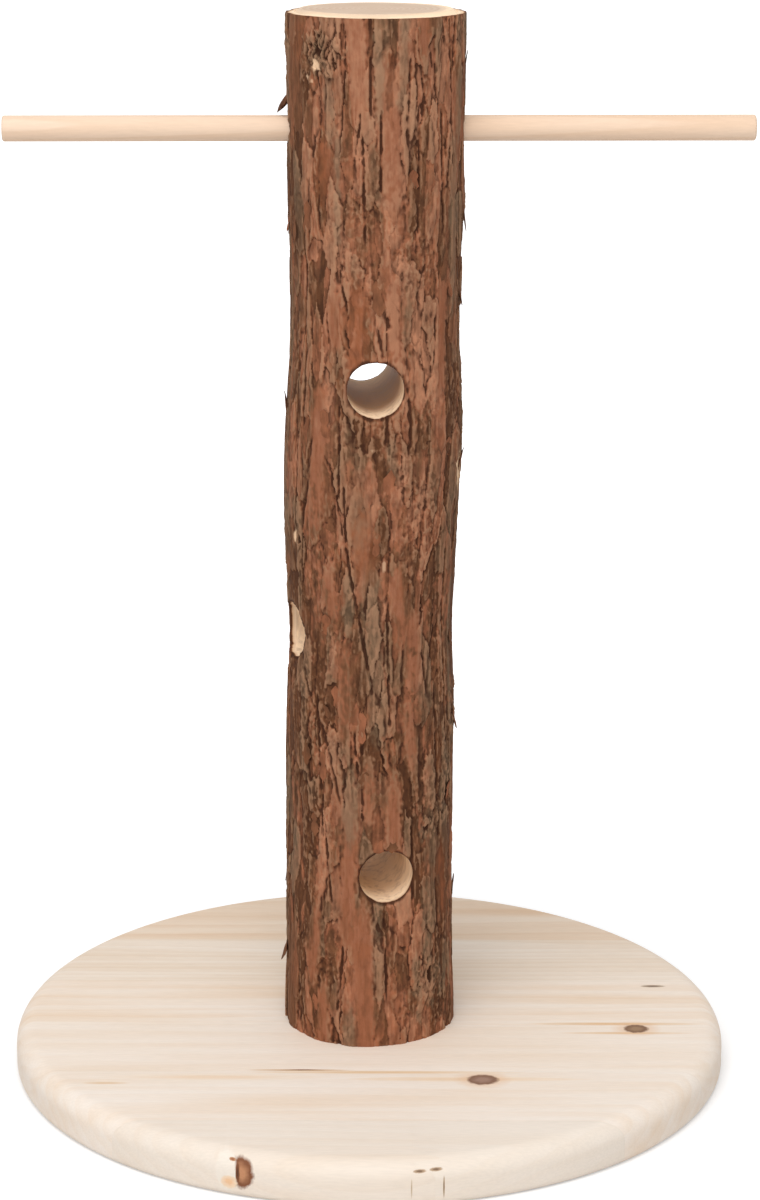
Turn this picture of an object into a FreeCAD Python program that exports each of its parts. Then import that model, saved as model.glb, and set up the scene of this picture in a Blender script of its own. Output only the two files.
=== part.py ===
import FreeCAD, Part
import math
import os

# Bird feeding tree in millimetres: a bark-covered log with drilled feeding holes and a dowel perch,
# screwed upright to a round board glued up from softwood staves.
# The origin is the middle of the board's underside, +Z is up, +X runs to the right along the perch
# and +Y runs away from the front, where two of the feeding holes open.

# Round base board
BOARD_DIAMETER = 290.0
BOARD_THICKNESS = 18.0
BOARD_TOP_ROUNDING = 8.0
TOP_ROUNDING_STEPS = 3
BOARD_UNDER_ROUNDING = 3.0
UNDER_ROUNDING_STEPS = 2

# Staves of the board: glue lines run along X, in even steps before and behind one of them.
# Their width and place are shares of the board's diameter, so every board has the same staves.
STAVE_WIDTH_SHARE = 0.162069
STAVE_SEAM_SHARE = -0.0413793
SEAMS_BEFORE = 2
SEAMS_BEHIND = 3

# Finger joint across the front stave: blunt fingers along the grain, at a share of the diameter
FINGER_JOINT_SHARE = 0.0758621
FINGER_LENGTH = 9.5
FINGER_PITCH = 5.6
FINGER_TIP = 0.8

# Log: the radius is taken over the ridges of the bark
LOG_HEIGHT = 412.0
LOG_RADIUS = 34.0
BARK_THICKNESS = 3.4
LOG_SECTIONS = 10
WOOD_SIDES = 36

# Swellings of the log: height above the board, gain in radius, spread along the log
BUTT_HEIGHT = 0.0
BUTT_GAIN = 1.0
BUTT_SPREAD = 26.0
WAIST_HEIGHT = 168.0
WAIST_GAIN = -1.0
WAIST_SPREAD = 24.0
BELLY_HEIGHT = 236.0
BELLY_GAIN = 1.2
BELLY_SPREAD = 38.0
HOLLOW_HEIGHT = 292.0
HOLLOW_GAIN = -0.5
HOLLOW_SPREAD = 28.0
HEAD_HEIGHT = 400.0
HEAD_GAIN = 0.8
HEAD_SPREAD = 55.0

# Crook of the log: the upper half stands a little to the right of the lower half
CROOK_SHIFT = 2.0
CROOK_HEIGHT = 235.0
CROOK_LENGTH = 35.0

# Bark ridges: plates that run up the log with furrows wandering between them
BARK_RIDGES = 20
FURROW_WIDTH = 2.0
FURROW_DEPTH = 1.5
FURROW_WANDER = 0.26
FURROW_WAVE = 150.0

# Feeding holes, bored right through the log: height above the board, turn of the front mouth
# from straight ahead towards the right in degrees, and shift of the axis off the log's middle
FEED_HOLE_DIAMETER = 22.0
LOWER_HOLE_HEIGHT = 72.0
LOWER_HOLE_TURN = 12.5
LOWER_HOLE_SHIFT = 0.0
SIDE_HOLE_HEIGHT = 168.5
SIDE_HOLE_TURN = -73.0
SIDE_HOLE_SHIFT = 0.0
UPPER_HOLE_HEIGHT = 271.0
UPPER_HOLE_TURN = 5.0
UPPER_HOLE_SHIFT = -2.4

# Perch: a stock dowel pushed through the log, turned a little in plan
PERCH_DIAMETER = 10.0
PERCH_LENGTH = 290.0
PERCH_CHAMFER = 1.0
PERCH_HEIGHT = 367.0
PERCH_TURN = 1.3
PERCH_SHIFT = 1.5
PERCH_CLEARANCE = 0.06

# Countersunk wood screws, driven up through the board into the log's end grain
SCREW_COUNT = 3
SCREW_CIRCLE_RADIUS = 19.0
SCREW_FIRST_ANGLE = 30.0
SCREW_DIAMETER = 5.0
SCREW_LENGTH = 60.0
SCREW_HEAD_DIAMETER = 10.0
SCREW_HEAD_RIM = 0.4
SCREW_HEAD_SUNK = 0.5
SCREW_CLEARANCE = 0.05
DRIVE_SLOT_LENGTH = 5.2
DRIVE_SLOT_WIDTH = 1.1
DRIVE_SLOT_DEPTH = 2.0

# Overrun of a cutting tool past the faces that it cuts
TOOL_OVERRUN = 5.0

UP = FreeCAD.Vector(0, 0, 1)
CENTRE = FreeCAD.Vector(0, 0, 0)


def swelling(height, middle, gain, spread):
    """Bell-shaped gain in radius at a height above the board."""
    return gain * math.exp(-((height - middle) / spread) ** 2)


def log_radius(height):
    """Radius over the bark's ridges at a height above the board."""
    radius = LOG_RADIUS
    radius += swelling(height, BUTT_HEIGHT, BUTT_GAIN, BUTT_SPREAD)
    radius += swelling(height, WAIST_HEIGHT, WAIST_GAIN, WAIST_SPREAD)
    radius += swelling(height, BELLY_HEIGHT, BELLY_GAIN, BELLY_SPREAD)
    radius += swelling(height, HOLLOW_HEIGHT, HOLLOW_GAIN, HOLLOW_SPREAD)
    radius += swelling(height, HEAD_HEIGHT, HEAD_GAIN, HEAD_SPREAD)
    return radius


def log_middle(height):
    """Point on the log's bent middle line at a height above the board."""
    bend = 0.5 * (1.0 + math.tanh((height - CROOK_HEIGHT) / CROOK_LENGTH))
    return FreeCAD.Vector(CROOK_SHIFT * bend, 0, BOARD_THICKNESS + height)


def section_heights():
    """Heights above the board of the sections that the log is lofted through."""
    step = LOG_HEIGHT / (LOG_SECTIONS - 1)
    return [index * step for index in range(LOG_SECTIONS)]


def around_log(height, angle, radius):
    """Point beside the log's middle line, at an angle round it and a distance from it."""
    across = FreeCAD.Vector(math.cos(angle), math.sin(angle), 0)
    return log_middle(height) + across * radius


def wood_section(height):
    """Many-sided outline of the wood under the bark, with its corners on a circle."""
    radius = log_radius(height) - BARK_THICKNESS
    angles = [2.0 * math.pi * side / WOOD_SIDES for side in range(WOOD_SIDES)]
    return [around_log(height, angle, radius) for angle in angles]


def furrow_angle(furrow, height):
    """Angle of a furrow round the log: even spacing, and two slow waves along its length."""
    phase = 2.0 * math.pi * height / FURROW_WAVE
    wander = math.sin(2.4 * furrow + phase) + 0.5 * math.sin(5.1 * furrow - 1.7 * phase)
    return 2.0 * math.pi * (furrow + FURROW_WANDER * wander) / BARK_RIDGES


def furrow_depth(furrow, height):
    """Depth of a furrow, which swells and fades along its length."""
    phase = 2.0 * math.pi * height / FURROW_WAVE
    return FURROW_DEPTH * (0.7 + 0.3 * math.sin(1.7 * furrow + 2.3 * phase))


def bark_section(height):
    """Outline of the bark: each ridge is a flat plate between two shoulders, beside a furrow."""
    radius = log_radius(height)
    half_furrow = 0.5 * FURROW_WIDTH / radius
    points = []
    for ridge in range(BARK_RIDGES):
        start = furrow_angle(ridge, height)
        after = (ridge + 1) % BARK_RIDGES
        end = furrow_angle(after, height)
        if after == 0:
            end += 2.0 * math.pi
        points.append(around_log(height, start, radius - furrow_depth(ridge, height)))
        points.append(around_log(height, start + half_furrow, radius))
        points.append(around_log(height, end - half_furrow, radius))
    return points


def flat_face(points):
    """Flat face inside a closed outline."""
    return Part.Face(Part.makePolygon(points + points[:1]))


def facet_loft(sections):
    """Solid through outlines with the same number of points, joined by flat triangles."""
    faces = [flat_face(sections[0]), flat_face(sections[-1])]
    for lower, upper in zip(sections, sections[1:]):
        for index in range(len(lower)):
            after = (index + 1) % len(lower)
            faces.append(flat_face([lower[index], lower[after], upper[after]]))
            faces.append(flat_face([lower[index], upper[after], upper[index]]))
    return Part.makeSolid(Part.makeShell(faces))


def feed_hole(height, turn, shift):
    """Drill for one feeding hole, long enough to pass both faces of the log."""
    angle = math.radians(turn)
    outward = FreeCAD.Vector(math.sin(angle), -math.cos(angle), 0)
    across = FreeCAD.Vector(math.cos(angle), math.sin(angle), 0)
    reach = log_radius(height) + TOOL_OVERRUN
    start = log_middle(height) + across * shift - outward * reach
    return Part.makeCylinder(0.5 * FEED_HOLE_DIAMETER, 2.0 * reach, start, outward)


def feed_holes():
    """Drills for the lower, side and upper feeding holes."""
    return [
        feed_hole(LOWER_HOLE_HEIGHT, LOWER_HOLE_TURN, LOWER_HOLE_SHIFT),
        feed_hole(SIDE_HOLE_HEIGHT, SIDE_HOLE_TURN, SIDE_HOLE_SHIFT),
        feed_hole(UPPER_HOLE_HEIGHT, UPPER_HOLE_TURN, UPPER_HOLE_SHIFT),
    ]


def perch_direction():
    """Direction of the perch, from its left end to its right end."""
    angle = math.radians(PERCH_TURN)
    return FreeCAD.Vector(math.cos(angle), math.sin(angle), 0)


def perch_left_end():
    """Middle of the perch's left end face."""
    middle = log_middle(PERCH_HEIGHT) + perch_direction() * PERCH_SHIFT
    return middle - perch_direction() * (0.5 * PERCH_LENGTH)


def perch():
    """Dowel with a small chamfer at each end."""
    radius = 0.5 * PERCH_DIAMETER
    dowel = Part.makeCylinder(radius, PERCH_LENGTH, perch_left_end(), perch_direction())
    rims = [edge for edge in dowel.Edges if edge.Closed]
    return dowel.makeChamfer(PERCH_CHAMFER, rims)


def perch_hole():
    """Drill for the perch's hole, with the clearance of a push fit."""
    radius = 0.5 * PERCH_DIAMETER + PERCH_CLEARANCE
    reach = log_radius(PERCH_HEIGHT) + TOOL_OVERRUN
    start = log_middle(PERCH_HEIGHT) - perch_direction() * reach
    return Part.makeCylinder(radius, 2.0 * reach, start, perch_direction())


def screw_places():
    """Points on the board's underside where the screws go in."""
    places = []
    for index in range(SCREW_COUNT):
        angle = math.radians(SCREW_FIRST_ANGLE + 360.0 * index / SCREW_COUNT)
        across = FreeCAD.Vector(math.cos(angle), math.sin(angle), 0)
        places.append(across * SCREW_CIRCLE_RADIUS)
    return places


def turned_about_z(outline, place):
    """Solid turned from an outline of (radius, height) points, stood at a place."""
    points = [FreeCAD.Vector(radius, 0, height) for radius, height in outline]
    solid = flat_face(points).revolve(CENTRE, UP, 360)
    solid.translate(place)
    return solid


def screw_outline(clearance, head_face):
    """Half outline of a countersunk screw, grown by a clearance, from its head face to its end."""
    head = 0.5 * SCREW_HEAD_DIAMETER + clearance
    shank = 0.5 * SCREW_DIAMETER + clearance
    rim_top = SCREW_HEAD_SUNK + SCREW_HEAD_RIM
    end = SCREW_HEAD_SUNK + SCREW_LENGTH + clearance
    return [
        (0, head_face),
        (head, head_face),
        (head, rim_top),
        (shank, rim_top + head - shank),
        (shank, end),
        (0, end),
    ]


def screw(place):
    """Countersunk wood screw with a cross recess in its head."""
    body = turned_about_z(screw_outline(0.0, SCREW_HEAD_SUNK), place)
    for length, width in ((DRIVE_SLOT_LENGTH, DRIVE_SLOT_WIDTH), (DRIVE_SLOT_WIDTH, DRIVE_SLOT_LENGTH)):
        depth = DRIVE_SLOT_DEPTH + SCREW_HEAD_SUNK
        corner = place - FreeCAD.Vector(0.5 * length, 0.5 * width, 0)
        body = body.cut(Part.makeBox(length, width, depth, corner))
    return body


def screw_hole(place):
    """Countersink, clearance hole and pilot hole for one screw, in one tool."""
    return turned_about_z(screw_outline(SCREW_CLEARANCE, -TOOL_OVERRUN), place)


def quarter_round(distance, height, radius, start, steps):
    """Quarter circle of (radius, height) points about a centre, in even steps from a start angle."""
    points = []
    for step in range(steps + 1):
        angle = math.radians(start + 90.0 * step / steps)
        points.append((distance + radius * math.cos(angle), height + radius * math.sin(angle)))
    return points


def round_board():
    """Whole board before it is divided: a disc turned with a soft upper edge and a smaller lower one."""
    edge = 0.5 * BOARD_DIAMETER
    under = BOARD_UNDER_ROUNDING
    over = BOARD_TOP_ROUNDING
    outline = [(0, 0)]
    outline += quarter_round(edge - under, under, under, -90.0, UNDER_ROUNDING_STEPS)
    outline += quarter_round(edge - over, BOARD_THICKNESS - over, over, 0.0, TOP_ROUNDING_STEPS)
    outline += [(0, BOARD_THICKNESS)]
    board = turned_about_z(outline, CENTRE)
    for place in screw_places():
        board = board.cut(screw_hole(place))
    return board


def stave_seams():
    """Places of the glue lines along Y, from the front of the board to its back."""
    steps = range(-SEAMS_BEFORE, SEAMS_BEHIND + 1)
    shares = [STAVE_SEAM_SHARE + step * STAVE_WIDTH_SHARE for step in steps]
    return [share * BOARD_DIAMETER for share in shares]


def finger_line(front, back):
    """Zigzag of the finger joint in plan, from the back glue line to past the front edge."""
    flank = 0.5 * FINGER_PITCH - FINGER_TIP
    left = FINGER_JOINT_SHARE * BOARD_DIAMETER - 0.5 * FINGER_LENGTH
    right = left + FINGER_LENGTH
    points = []
    y = back + TOOL_OVERRUN
    while y > front:
        for x in (left, right):
            points.append((x, y))
            points.append((x, y - FINGER_TIP))
            y -= FINGER_TIP + flank
    return points


def prism(points):
    """Upright block over a plan outline, past both faces of the board."""
    corners = [FreeCAD.Vector(x, y, -TOOL_OVERRUN) for x, y in points]
    return flat_face(corners).extrude(UP * (BOARD_THICKNESS + 2.0 * TOOL_OVERRUN))


def base_staves():
    """Staves by name, from the front to the back; the front one is finger-jointed from two lengths."""
    board = round_board()
    reach = 0.5 * BOARD_DIAMETER + TOOL_OVERRUN
    bounds = [-reach] + stave_seams() + [reach]
    staves = {}
    for index, (front, back) in enumerate(zip(bounds, bounds[1:]), start=1):
        name = f"base_stave_{index}"
        strip = prism([(-reach, front), (reach, front), (reach, back), (-reach, back)])
        stave = board.common(strip)
        if index == 1:
            zigzag = finger_line(front, back)
            left_side = prism([(-reach, zigzag[0][1])] + zigzag + [(-reach, zigzag[-1][1])])
            staves[name + "_left"] = stave.common(left_side)
            staves[name + "_right"] = stave.cut(left_side)
        else:
            staves[name] = stave
    return staves


def log():
    """Wood and bark of the log, which share the face between them, with every hole bored."""
    heights = section_heights()
    wood = facet_loft([wood_section(height) for height in heights])
    whole = facet_loft([bark_section(height) for height in heights])
    bark = whole.cut(wood)
    for drill in feed_holes() + [perch_hole()]:
        wood = wood.cut(drill)
        bark = bark.cut(drill)
    for place in screw_places():
        wood = wood.cut(screw_hole(place))
    return wood, bark


def main():
    """Build every piece and write one file for each."""
    wood, bark = log()
    nodes = {"trunk_wood": wood, "bark": bark, "perch": perch()}
    nodes.update(base_staves())
    nodes["base_screws"] = Part.makeCompound([screw(place) for place in screw_places()])
    os.makedirs("parts", exist_ok=True)
    for name, shape in nodes.items():
        print(f"{name}: {len(shape.Solids)} solid(s), {shape.Volume / 1000.0:.2f} cm3, valid {shape.isValid()}")
        shape.exportStep(f"parts/{name}.step")


main()
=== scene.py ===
"""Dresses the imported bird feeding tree: flaking bark, sawn and bored wood, a dowel perch, a board of
glued staves, and a plain pale studio. Sizes in the classes are millimetres in the frame of the solids:
the origin is the middle of the board's underside, +X runs to the right along the perch and +Y to the back.
"""
import logging
import math
from collections.abc import Callable
from dataclasses import astuple, dataclass, field
from enum import Enum
from functools import partial

import bmesh
import bpy
import numpy as np
from mathutils import Euler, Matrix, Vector


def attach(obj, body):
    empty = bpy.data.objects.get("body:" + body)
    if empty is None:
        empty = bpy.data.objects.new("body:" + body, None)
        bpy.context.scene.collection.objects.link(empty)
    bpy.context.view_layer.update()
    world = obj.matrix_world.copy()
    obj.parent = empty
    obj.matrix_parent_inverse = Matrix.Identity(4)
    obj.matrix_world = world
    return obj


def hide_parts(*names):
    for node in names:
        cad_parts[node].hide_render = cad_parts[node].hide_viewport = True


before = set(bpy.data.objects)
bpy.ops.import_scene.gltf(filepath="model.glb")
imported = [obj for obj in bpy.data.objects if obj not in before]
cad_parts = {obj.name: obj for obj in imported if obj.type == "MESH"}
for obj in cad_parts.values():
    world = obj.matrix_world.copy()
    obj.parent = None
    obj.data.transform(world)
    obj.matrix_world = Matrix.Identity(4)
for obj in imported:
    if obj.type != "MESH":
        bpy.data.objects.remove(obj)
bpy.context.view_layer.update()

LOG = logging.getLogger("feeding_tree")
MM = 0.001
TURN = 2.0 * math.pi
FRONT_ANGLE = -0.5 * math.pi
WELD_DISTANCE = 1e-6
WHITE = (1.0, 1.0, 1.0, 1.0)
INSET = 0.001

Array = np.ndarray
Mesh = bpy.types.Mesh
Thing = bpy.types.Object
Material = bpy.types.Material
Socket = bpy.types.NodeSocket
Items = bpy.types.bpy_prop_collection
Adder = Callable[..., bpy.types.NodeOutputs]


class Body(Enum):
    """Bodies of the frame that pieces ride on."""

    STAND = "stand"
    PERCH = "perch"


class Slot(Enum):
    """Material slots of the record that pieces take their finish from."""

    BARK = "bark"
    LOG_WOOD = "log_wood"
    DOWEL_WOOD = "dowel_wood"
    BOARD_WOOD = "board_wood"


class Cut(Enum):
    """What a cutting shape does to a piece."""

    BORE = "DIFFERENCE"
    KEEP = "INTERSECT"


class Strip(Enum):
    """Kinds of strip that stand out on the bark's front."""

    RED = "smooth reddish plate"
    BROWN = "dull brown plate"
    GREY = "weathered grey strip"
    ORANGE = "fresh bark where a flake came off"
    CRUMB = "crumbling patch"
    SEAM = "dark furrow"


class Face(Enum):
    """Face of a piece that a mark is drawn on, by the axes that its oval is measured along."""

    TOP = (1.0, 1.0, 0.0)
    FRONT = (1.0, 0.0, 1.0)
    ROUND = (1.0, 1.0, 1.0)


# Colours and shader nodes


def linear(code: str) -> tuple[float, float, float, float]:
    """Turn an sRGB hex colour into linear light.

    Args:
        code: Six hex digits after a hash sign.

    Returns:
        Red, green, blue and an alpha of one.
    """
    parts = [int(code[place:place + 2], 16) / 255.0 for place in (1, 3, 5)]
    lights = [part / 12.92 if part <= 0.04045 else ((part + 0.055) / 1.055) ** 2.4 for part in parts]
    return (lights[0], lights[1], lights[2], 1.0)


def add(
    tree: bpy.types.NodeTree, kind: str, inputs: dict | None = None, stops: tuple = (), **settings
) -> bpy.types.NodeOutputs:
    """Add one shader node with its settings, colour stops, set values and links.

    Args:
        tree: Node tree that takes the node.
        kind: Kind of shader node, without the words that all kinds start with.
        inputs: Value or linked socket for each named or numbered input.
        stops: Place and hex colour of each stop, for a colour ramp.
        settings: The node's own properties.

    Returns:
        The node's outputs.
    """
    node = tree.nodes.new("ShaderNode" + kind)
    for name, value in settings.items():
        setattr(node, name, value)
    for name, value in (inputs or {}).items():
        if isinstance(value, Socket):
            tree.links.new(value, node.inputs[name])
        else:
            node.inputs[name].default_value = value
    for index, (place, code) in enumerate(stops):
        elements = node.color_ramp.elements
        stop = elements[index] if index < 2 else elements.new(place)
        stop.position = place
        stop.color = linear(code)
    return node.outputs


def new_material(name: str) -> tuple[Material, Adder]:
    """Make an empty node material.

    Args:
        name: Name of the real material.

    Returns:
        The material, and the function that adds a node to it.
    """
    material = bpy.data.materials.new(name)
    material.use_nodes = True
    material.node_tree.nodes.clear()
    return material, partial(add, material.node_tree)


def per_metre(size: float) -> float:
    """Scale of a pattern: how often its size in millimetres goes into a metre."""
    return 1.0 / (size * MM)


# Mesh building


def smooth(low: float, high: float, value: Array) -> Array:
    """Rise from zero to one between two limits, with level ends.

    Args:
        low: Value where the rise starts.
        high: Value where the rise ends.
        value: Values to place between them.

    Returns:
        The rise at each value.
    """
    share = np.clip((value - low) / (high - low), 0.0, 1.0)
    return share * share * (3.0 - 2.0 * share)


def grid_faces(index: Array) -> Array:
    """Four-sided faces between neighbours of a grid of vertex numbers, facing columns times rows."""
    corners = (index[:-1, :-1], index[:-1, 1:], index[1:, 1:], index[1:, :-1])
    return np.stack(corners, axis=-1).reshape(-1, 4)


def new_mesh(name: str, points: Array, faces: list[Array]) -> Mesh:
    """Make a mesh from points in millimetres.

    Args:
        name: Name of the mesh.
        points: One row of X, Y and Z for each vertex.
        faces: Arrays of faces, each with its own number of corners.

    Returns:
        The mesh in metres.
    """
    corners = np.concatenate([part.ravel() for part in faces]).astype(np.int32)
    sizes = np.concatenate([np.full(len(part), part.shape[1]) for part in faces])
    starts = (np.cumsum(sizes) - sizes).astype(np.int32)
    mesh = bpy.data.meshes.new(name)
    mesh.vertices.add(len(points))
    write_points(mesh, points)
    mesh.loops.add(len(corners))
    mesh.loops.foreach_set("vertex_index", corners)
    mesh.polygons.add(len(starts))
    mesh.polygons.foreach_set("loop_start", starts)
    mesh.update(calc_edges=True)
    mesh.validate()
    return mesh


def write_points(mesh: Mesh, points: Array) -> None:
    """Set a mesh's vertices from points in millimetres."""
    mesh.vertices.foreach_set("co", (points * MM).astype(np.float32).ravel())


def write_field(mesh: Mesh, name: str, values: Array) -> None:
    """Give each vertex of a mesh one number of a new field."""
    mesh.attributes.new(name, "FLOAT", "POINT").data.foreach_set("value", values.astype(np.float32))


def read_numbers(items: Items, name: str) -> Array:
    """Read one whole number for each item of a mesh, such as its faces' sizes.

    Args:
        items: Vertices, corners or faces of the mesh.
        name: Name of the number.

    Returns:
        The numbers in the mesh's order.
    """
    values = np.empty(len(items), np.int32)
    items.foreach_get(name, values)
    return values


def read_vectors(items: Items, name: str) -> Array:
    """Read a vector for each item of a mesh, such as its faces' directions.

    Args:
        items: Vertices, corners or faces of the mesh.
        name: Name of the vector.

    Returns:
        One row of three numbers for each item.
    """
    flat = np.empty(3 * len(items), np.float32)
    items.foreach_get(name, flat)
    return flat.reshape(-1, 3)


def read_points(mesh: Mesh) -> Array:
    """Vertices of a mesh in millimetres."""
    return read_vectors(mesh.vertices, "co").astype(float) / MM


def new_object(name: str, mesh: Mesh) -> Thing:
    """Put a mesh into the scene as an object at the origin.

    Args:
        name: Name of the object.
        mesh: Its mesh.

    Returns:
        The object.
    """
    thing = bpy.data.objects.new(name, mesh)
    bpy.context.scene.collection.objects.link(thing)
    return thing


def turned_mesh(name: str, outline: Array, sides: int) -> Mesh:
    """Turn an outline about Z: each (radius, height) goes round a circle, and both ends close at a pole.

    Args:
        name: Name of the mesh.
        outline: Rows of radius and height, from the lower end to the upper one.
        sides: Number of steps round the circle.

    Returns:
        A closed mesh with its faces outwards.
    """
    angle = np.arange(sides) * TURN / sides
    radius, height = outline[:, :1], outline[:, 1:]
    ring = np.stack([radius * np.cos(angle), radius * np.sin(angle), height + 0.0 * angle], axis=-1)
    poles = [[0.0, 0.0, outline[0, 1]], [0.0, 0.0, outline[-1, 1]]]
    points = np.concatenate([ring.reshape(-1, 3), poles])
    index = np.arange(len(outline) * sides).reshape(len(outline), sides)
    index = np.concatenate([index, index[:, :1]], axis=1)
    low, high = len(points) - 2, len(points) - 1
    under = np.stack([index[0, 1:], index[0, :-1], np.full(sides, low)], axis=-1)
    over = np.stack([index[-1, :-1], index[-1, 1:], np.full(sides, high)], axis=-1)
    return new_mesh(name, points, [grid_faces(index), under, over])


def prism_mesh(name: str, plan: Array, low: float, high: float) -> Mesh:
    """Stand a plan outline up between two heights.

    Args:
        name: Name of the mesh.
        plan: Rows of X and Y, anticlockwise.
        low: Height of the lower face.
        high: Height of the upper face.

    Returns:
        A closed mesh with its faces outwards.
    """
    count = len(plan)
    points = np.concatenate([np.c_[plan, np.full(count, low)], np.c_[plan, np.full(count, high)]])
    index = np.arange(2 * count).reshape(2, count)
    around = np.concatenate([index, index[:, :1]], axis=1)
    return new_mesh(name, points, [grid_faces(around), index[:1, ::-1], index[1:]])


def lay_along(mesh: Mesh, axis: Array, start: Array) -> None:
    """Carry a mesh from the Z axis to another line: Z goes along the axis and X stays level.

    Args:
        mesh: Mesh that is carried.
        axis: Direction of the new line.
        start: Point of the new line that the origin goes to.
    """
    along = axis / np.linalg.norm(axis)
    level = np.cross([0.0, 0.0, 1.0], along)
    level = level / np.linalg.norm(level)
    third = np.cross(along, level)
    write_points(mesh, start + read_points(mesh) @ np.stack([level, third, along]))


def merged(name: str, meshes: list[Mesh]) -> Mesh:
    """Join meshes into one and remove them.

    Args:
        name: Name of the new mesh.
        meshes: Meshes that don't cross each other.

    Returns:
        One mesh with all their faces.
    """
    points, faces, offset = [], [], 0
    for mesh in meshes:
        points.append(read_points(mesh))
        sizes = read_numbers(mesh.polygons, "loop_total")
        corners = read_numbers(mesh.loops, "vertex_index")
        starts = np.cumsum(sizes) - sizes
        for size in np.unique(sizes):
            rows = starts[sizes == size]
            faces.append(corners[rows[:, None] + np.arange(size)] + offset)
        offset += len(mesh.vertices)
        bpy.data.meshes.remove(mesh)
    return new_mesh(name, np.concatenate(points), faces)


def cut(thing: Thing, tool: Mesh, way: Cut) -> None:
    """Cut an object with a closed mesh and keep the result as its mesh, in triangles.

    Args:
        thing: Object that is cut.
        tool: Closed mesh of the cutting shape.
        way: Whether the tool's inside is taken away or kept.
    """
    cutter = new_object("cutter", tool)
    modifier = thing.modifiers.new("cut", "BOOLEAN")
    modifier.operation = way.value
    modifier.solver = "MANIFOLD"
    modifier.object = cutter
    bpy.context.view_layer.update()
    graph = bpy.context.evaluated_depsgraph_get()
    result = bpy.data.meshes.new_from_object(thing.evaluated_get(graph))
    thing.modifiers.clear()
    old = thing.data
    thing.data = result
    result.name = thing.name
    bpy.data.meshes.remove(old)
    bpy.data.objects.remove(cutter)
    drop_slivers(result)


def drop_slivers(mesh: Mesh) -> None:
    """Divide a mesh into triangles, without thin ones and without pairs that lie back to back.

    Args:
        mesh: Closed mesh that is changed.
    """
    work = bmesh.new()
    work.from_mesh(mesh)
    bmesh.ops.remove_doubles(work, verts=work.verts, dist=WELD_DISTANCE)
    bmesh.ops.dissolve_degenerate(work, edges=work.edges, dist=WELD_DISTANCE)
    bmesh.ops.triangulate(work, faces=work.faces)
    work.to_mesh(mesh)
    sets = np.sort(read_numbers(mesh.loops, "vertex_index").reshape(-1, 3), axis=1)
    _, which, counts = np.unique(sets, axis=0, return_inverse=True, return_counts=True)
    doubled = np.flatnonzero(counts[which.ravel()] > 1)
    work.faces.ensure_lookup_table()
    bmesh.ops.delete(work, geom=[work.faces[number] for number in doubled], context="FACES")
    work.to_mesh(mesh)
    work.free()


def soften(mesh: Mesh, degrees: float) -> None:
    """Shade a mesh smoothly except along edges sharper than an angle."""
    mesh.polygons.foreach_set("use_smooth", np.ones(len(mesh.polygons), bool))
    mesh.set_sharp_from_angle(angle=math.radians(degrees))


def finish_piece(thing: Thing, material: Material, body: Body, slot: Slot, *nodes: str) -> None:
    """Give a piece its finish and its body, and hide the nodes that it stands for.

    Args:
        thing: The finished object.
        material: Its material.
        body: Body that it rides on.
        slot: Material slot of the record; not used.
        nodes: Names of the solids that it replaces.
    """
    thing.data.materials.clear()
    thing.data.materials.append(material)
    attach(thing, body.value)
    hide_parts(*nodes)
    LOG.info("%s: %d faces", thing.name, len(thing.data.polygons))


# The log


@dataclass(frozen=True)
class Bore:
    """A hole through the log: height, turn of its front mouth to the right, shift of its axis, diameter."""

    height: float
    turn: float
    shift: float
    diameter: float

    def outward(self) -> Array:
        """Direction of the front mouth."""
        angle = math.radians(self.turn)
        return np.array([math.sin(angle), -math.cos(angle), 0.0])

    def across(self) -> Array:
        """Level direction across the bore."""
        angle = math.radians(self.turn)
        return np.array([math.cos(angle), math.sin(angle), 0.0])


@dataclass(frozen=True)
class Swelling:
    """A bell that adds to the log's radius: height of its middle, gain there, and spread."""

    height: float
    gain: float
    spread: float


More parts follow.
